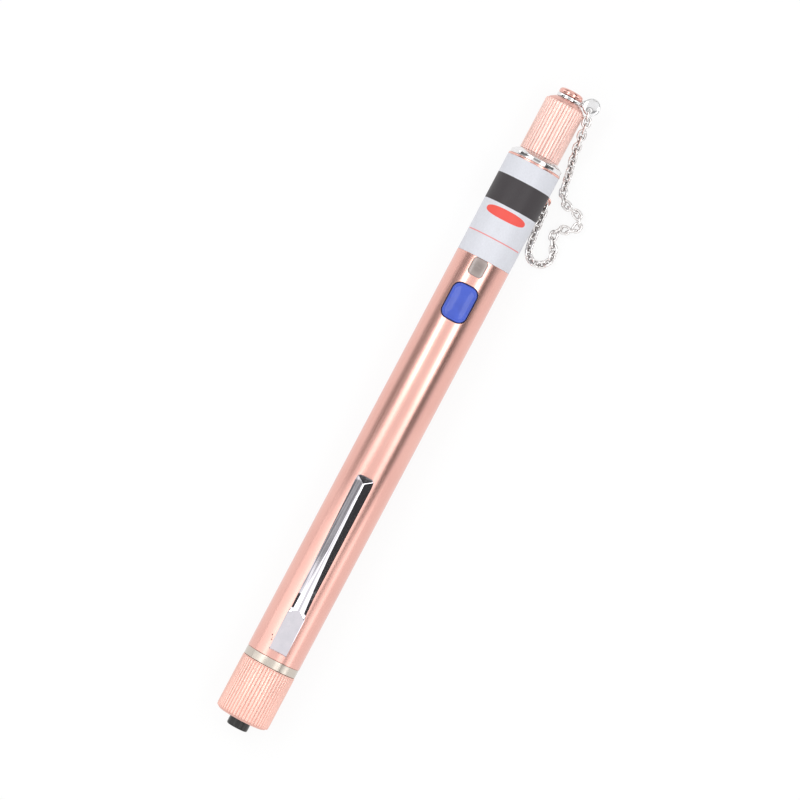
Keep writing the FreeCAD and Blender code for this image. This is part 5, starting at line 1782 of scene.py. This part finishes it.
@dataclass(frozen=True)
class SwungCard:
    """A card that curves over the clip, seen by mirrors only.

    Its reach is metres from the clip's middle. The swing is where it begins and ends along the pen, in
    degrees from straight up, plus to the tail, and the roll is the same across the pen.
    """

    name: str
    reach: float
    swing: Point
    roll: Point
    glow: float


# The strips hang half a metre from the pen, leaning 31 degrees from straight up.
STRIP_ASIDE, STRIP_HEIGHT = 0.5 * math.sin(math.radians(31)), 0.5 * math.cos(math.radians(31))


@dataclass
class Studio:
    """The table, the soft lights, the surroundings and the camera."""

    camera_height: float = 1.0
    image_width: float = 0.1953
    aim: tuple[float, float, float] = (-0.0807, 0.0021, 0.0)
    turn: float = 27.93
    side_lean: float = 3.4
    table_reach: float = 3.0
    table_glow: float = 0.88
    clip_middle: float = -0.122
    flag_reach: float = 0.25
    flag_span: Point = (-0.004, 0.032)
    card_steps: int = 8

    # angle from straight up in degrees, minus towards the chain's side, and how bright the room is there
    room_glow: tuple[Point, ...] = (
        (-90, 1.0), (-76, 0.85), (-64, 0.22), (-57, 0.06), (-48, 0.06), (-43, 0.45), (-37, 0.95), (0, 1.0),
        (38, 0.95), (50, 0.55), (58, 0.43), (73, 0.27), (83, 0.55), (90, 0.95),
    )

    # where a card over the collar begins and ends, as angles of the room, and how bright it is
    collar_flags: tuple[tuple[float, float, float], ...] = (
        (-88, -45, 0.1), (-45, -23, 1.6), (-23, 12, 0.33), (12, 32, 1.6), (32, 74, 0.1),
    )

    # two pale cards for the clip's crest, then dark ones for its lower slopes and its neck
    clip_cards: tuple[SwungCard, ...] = (
        SwungCard("clip_card_left", 0.45, (-7, 52), (27, 39), 1.7),
        SwungCard("clip_card_right", 0.45, (-7, 52), (-34, -21), 1.7),
        SwungCard("clip_flag_0", 0.18, (-9, 4), (-61, -47), 0.05),
        SwungCard("clip_flag_1", 0.18, (4, 30), (-53.5, -48), 0.05),
        SwungCard("clip_flag_2", 0.18, (30, 48), (-61, -47), 0.05),
        SwungCard("clip_flag_3", 0.18, (30, 48), (50, 64), 0.05),
    )

    # the small ones at the head, the long strips over the head half and the low ones at the tail
    panels: tuple[SoftPanels, ...] = (
        SoftPanels("head", 0.07, 0.3, 0.12, (0.12, 0.2), 1.4),
        SoftPanels("strip", 0.03, STRIP_ASIDE, STRIP_HEIGHT, (0.28, 0.17), 3.1),
        SoftPanels("low", -0.225, 0.2, 0.12, (0.2, 0.2), 0.95),
    )

    def build_table(self) -> None:
        """Lay the pale table, which shows as white and keeps the pen's soft shadow."""
        mesh = bmesh.new()
        corners = [(-1, -1), (1, -1), (1, 1), (-1, 1)]
        reach = self.table_reach
        mesh.faces.new([mesh.verts.new((x * reach, y * reach, TABLE_HEIGHT * MM)) for x, y in corners])
        table = finish_mesh("table", mesh)
        graph = ShaderGraph("pale_table")
        tone = graph.noise(graph.place, 0.05, 1.0)
        graph.set("Base Color", graph.blend(tone, (0.9, 0.9, 0.9), (0.88, 0.88, 0.88)))
        graph.set("Roughness", 0.9)
        glow = graph.nodes.new("ShaderNodeEmission")
        path = graph.nodes.new("ShaderNodeLightPath")
        seen = path.outputs["Is Camera Ray"]
        for ray in ("Is Glossy Ray", "Is Transmission Ray"):
            seen = graph.calc("MAXIMUM", seen, path.outputs[ray])
        mixed = graph.nodes.new("ShaderNodeMixShader")
        graph.feed(mixed.inputs[0], graph.times(seen, self.table_glow))
        graph.links.new(graph.surface.outputs[0], mixed.inputs[1])
        graph.links.new(glow.outputs[0], mixed.inputs[2])
        output = graph.nodes["Material Output"]
        graph.links.new(mixed.outputs[0], output.inputs["Surface"])
        table.data.materials.append(graph.material)

    def build_surroundings(self) -> None:
        """Set the room's glow: soft from above, dimmer near the horizon, white to the camera."""
        world = bpy.data.worlds.new("studio_room")
        bpy.context.scene.world = world
        world.use_nodes = True
        nodes, links = world.node_tree.nodes, world.node_tree.links
        room = nodes["Background"]
        room.inputs["Color"].default_value = (1, 1, 1, 1)
        coordinates = nodes.new("ShaderNodeTexCoord")
        split = nodes.new("ShaderNodeSeparateXYZ")
        links.new(coordinates.outputs["Generated"], split.inputs[0])
        angle = nodes.new("ShaderNodeMath")
        angle.operation = "ARCTAN2"
        links.new(split.outputs["Y"], angle.inputs[0])
        links.new(split.outputs["Z"], angle.inputs[1])
        share = nodes.new("ShaderNodeMapRange")
        links.new(angle.outputs[0], share.inputs["Value"])
        share.inputs["From Min"].default_value = -math.pi / 2
        share.inputs["From Max"].default_value = math.pi / 2
        ramp = nodes.new("ShaderNodeValToRGB")
        links.new(share.outputs[0], ramp.inputs[0])
        stops = ramp.color_ramp.elements
        for index, (degrees, glow) in enumerate(self.room_glow):
            place = (degrees + 90) / 180
            stop = stops[index] if index < 2 else stops.new(place)
            stop.position = place
            stop.color = (glow, glow, glow, 1)
        links.new(ramp.outputs[0], room.inputs["Strength"])
        seen = nodes.new("ShaderNodeBackground")
        seen.inputs["Color"].default_value = (1, 1, 1, 1)
        path = nodes.new("ShaderNodeLightPath")
        mixed = nodes.new("ShaderNodeMixShader")
        links.new(path.outputs["Is Camera Ray"], mixed.inputs[0])
        links.new(room.outputs[0], mixed.inputs[1])
        links.new(seen.outputs[0], mixed.inputs[2])
        links.new(mixed.outputs[0], nodes["World Output"].inputs["Surface"])

    def add_panel(self, name: str, centre: Vector, size: Point, glow: float) -> None:
        """Hang one soft panel that faces the pen.

        Args:
            name: The panel's name.
            centre: Its centre, in metres.
            size: Its length along the pen and its width, in metres.
            glow: How bright it looks, where 1 is white.
        """
        light = bpy.data.lights.new(name, "AREA")
        light.shape = "RECTANGLE"
        light.size, light.size_y = size
        light.energy = glow * math.pi * size[0] * size[1]
        panel = bpy.data.objects.new(name, light)
        bpy.context.scene.collection.objects.link(panel)
        back = (centre - ALONG * centre.x).normalized()
        turn = Matrix((ALONG, back.cross(ALONG), back)).transposed().to_4x4()
        panel.matrix_world = Matrix.Translation(centre) @ turn
        panel.visible_camera = False

    def add_card(self, name: str, edge: list[tuple[Vector, Vector]], glow: float) -> None:
        """Stand a card that only mirrors see, such as photographers use to shape reflections.

        Args:
            name: The card's name.
            edge: Pairs of points, in metres, that its strip of faces runs through.
            glow: How bright it looks, where 1 is white.
        """
        mesh = bmesh.new()
        rows = [(mesh.verts.new(first), mesh.verts.new(last)) for first, last in edge]
        for row, after in zip(rows, rows[1:]):
            mesh.faces.new((row[0], row[1], after[1], after[0]))
        card = finish_mesh(name, mesh)
        graph = ShaderGraph(name)
        emission = graph.nodes.new("ShaderNodeEmission")
        emission.inputs["Strength"].default_value = glow
        graph.links.new(emission.outputs[0], graph.nodes["Material Output"].inputs["Surface"])
        card.data.materials.append(graph.material)
        card.visible_camera = card.visible_diffuse = card.visible_shadow = card.visible_transmission = False

    def spread(self, first: float, last: float) -> list[float]:
        """Give evenly spaced angles from one to another, in radians."""
        steps = self.card_steps
        return [math.radians(first + (last - first) * step / steps) for step in range(steps + 1)]

    def add_swung_card(self, card: SwungCard) -> None:
        """Stand a card that curves over the clip from the head's side to the tail's.

        Args:
            card: The card's place and glow.
        """
        middle = ALONG * self.clip_middle
        edge = []
        for tilt in self.spread(*card.swing):
            spots = []
            for side in map(math.radians, card.roll):
                upright = Vector((0, math.sin(side), math.cos(side))) * math.cos(tilt)
                spots.append(middle + (upright - ALONG * math.sin(tilt)) * card.reach)
            edge.append((spots[0], spots[1]))
        self.add_card(card.name, edge, card.glow)

    def build_cards(self) -> None:
        """Stand the cards that the collar's band, the clip's toe and its slopes mirror."""
        near, far = self.flag_span
        for index, (first, last, glow) in enumerate(self.collar_flags):
            edge = []
            for angle in self.spread(first, last):
                y, z = self.flag_reach * math.sin(angle), self.flag_reach * math.cos(angle)
                edge.append((Vector((near, y, z)), Vector((far, y, z))))
            self.add_card(f"collar_card_{index}", edge, glow)
        upright = [(Vector((0.1, y, 0.1)), Vector((0.1, y, 0.14))) for y in (-0.03, 0.03)]
        self.add_card("toe_card", upright, 0.06)
        for card in self.clip_cards:
            self.add_swung_card(card)

    def build_lights(self) -> None:
        """Hang each pair of panels, one on the left and one on the right."""
        for pair in self.panels:
            for side, hand in ((1, "left"), (-1, "right")):
                centre = Vector((pair.along, side * pair.aside, pair.height))
                self.add_panel(f"{pair.name}_{hand}", centre, pair.size, pair.glow)

    def build_camera(self) -> None:
        """Stand the camera over the pen, a little to the chain's side, as the photo was taken."""
        data = bpy.data.cameras.new("camera")
        data.sensor_width = 36.0
        data.lens = 36.0 * self.camera_height / self.image_width
        data.clip_end = 20.0
        camera = bpy.data.objects.new("camera", data)
        bpy.context.scene.collection.objects.link(camera)
        lean, turn = math.radians(self.side_lean), math.radians(self.turn)
        back = Vector((0, -math.sin(lean), math.cos(lean)))
        up = Vector((math.cos(turn), math.sin(turn), 0))
        right = up.cross(back).normalized()
        up = back.cross(right)
        place = Vector(self.aim) + back * self.camera_height
        facing = Matrix((right, up, back)).transposed().to_4x4()
        camera.matrix_world = Matrix.Translation(place) @ facing
        bpy.context.scene.camera = camera

    def build(self) -> None:
        """Set up the whole studio."""
        self.build_camera()
        self.build_table()
        self.build_surroundings()
        self.build_lights()
        self.build_cards()
        bpy.context.scene.view_settings.view_transform = "Standard"


def main() -> None:
    """Build the studio and every sub-assembly."""
    logging.basicConfig(level=logging.INFO, format="%(name)s: %(message)s")
    Studio().build()
    finishes = Finishes()
    ribs, links = rib_ring_tree(), chain_tree()
    Barrel().build(finishes)
    ControlWindow().build(finishes)
    HeadCap().build(finishes, ribs)
    Tail().build(finishes, ribs)
    PocketClip().build(finishes)
    SafetyChain().build(finishes, links)
    InnerParts().paint(finishes)


if __name__ == "__main__":
    main()
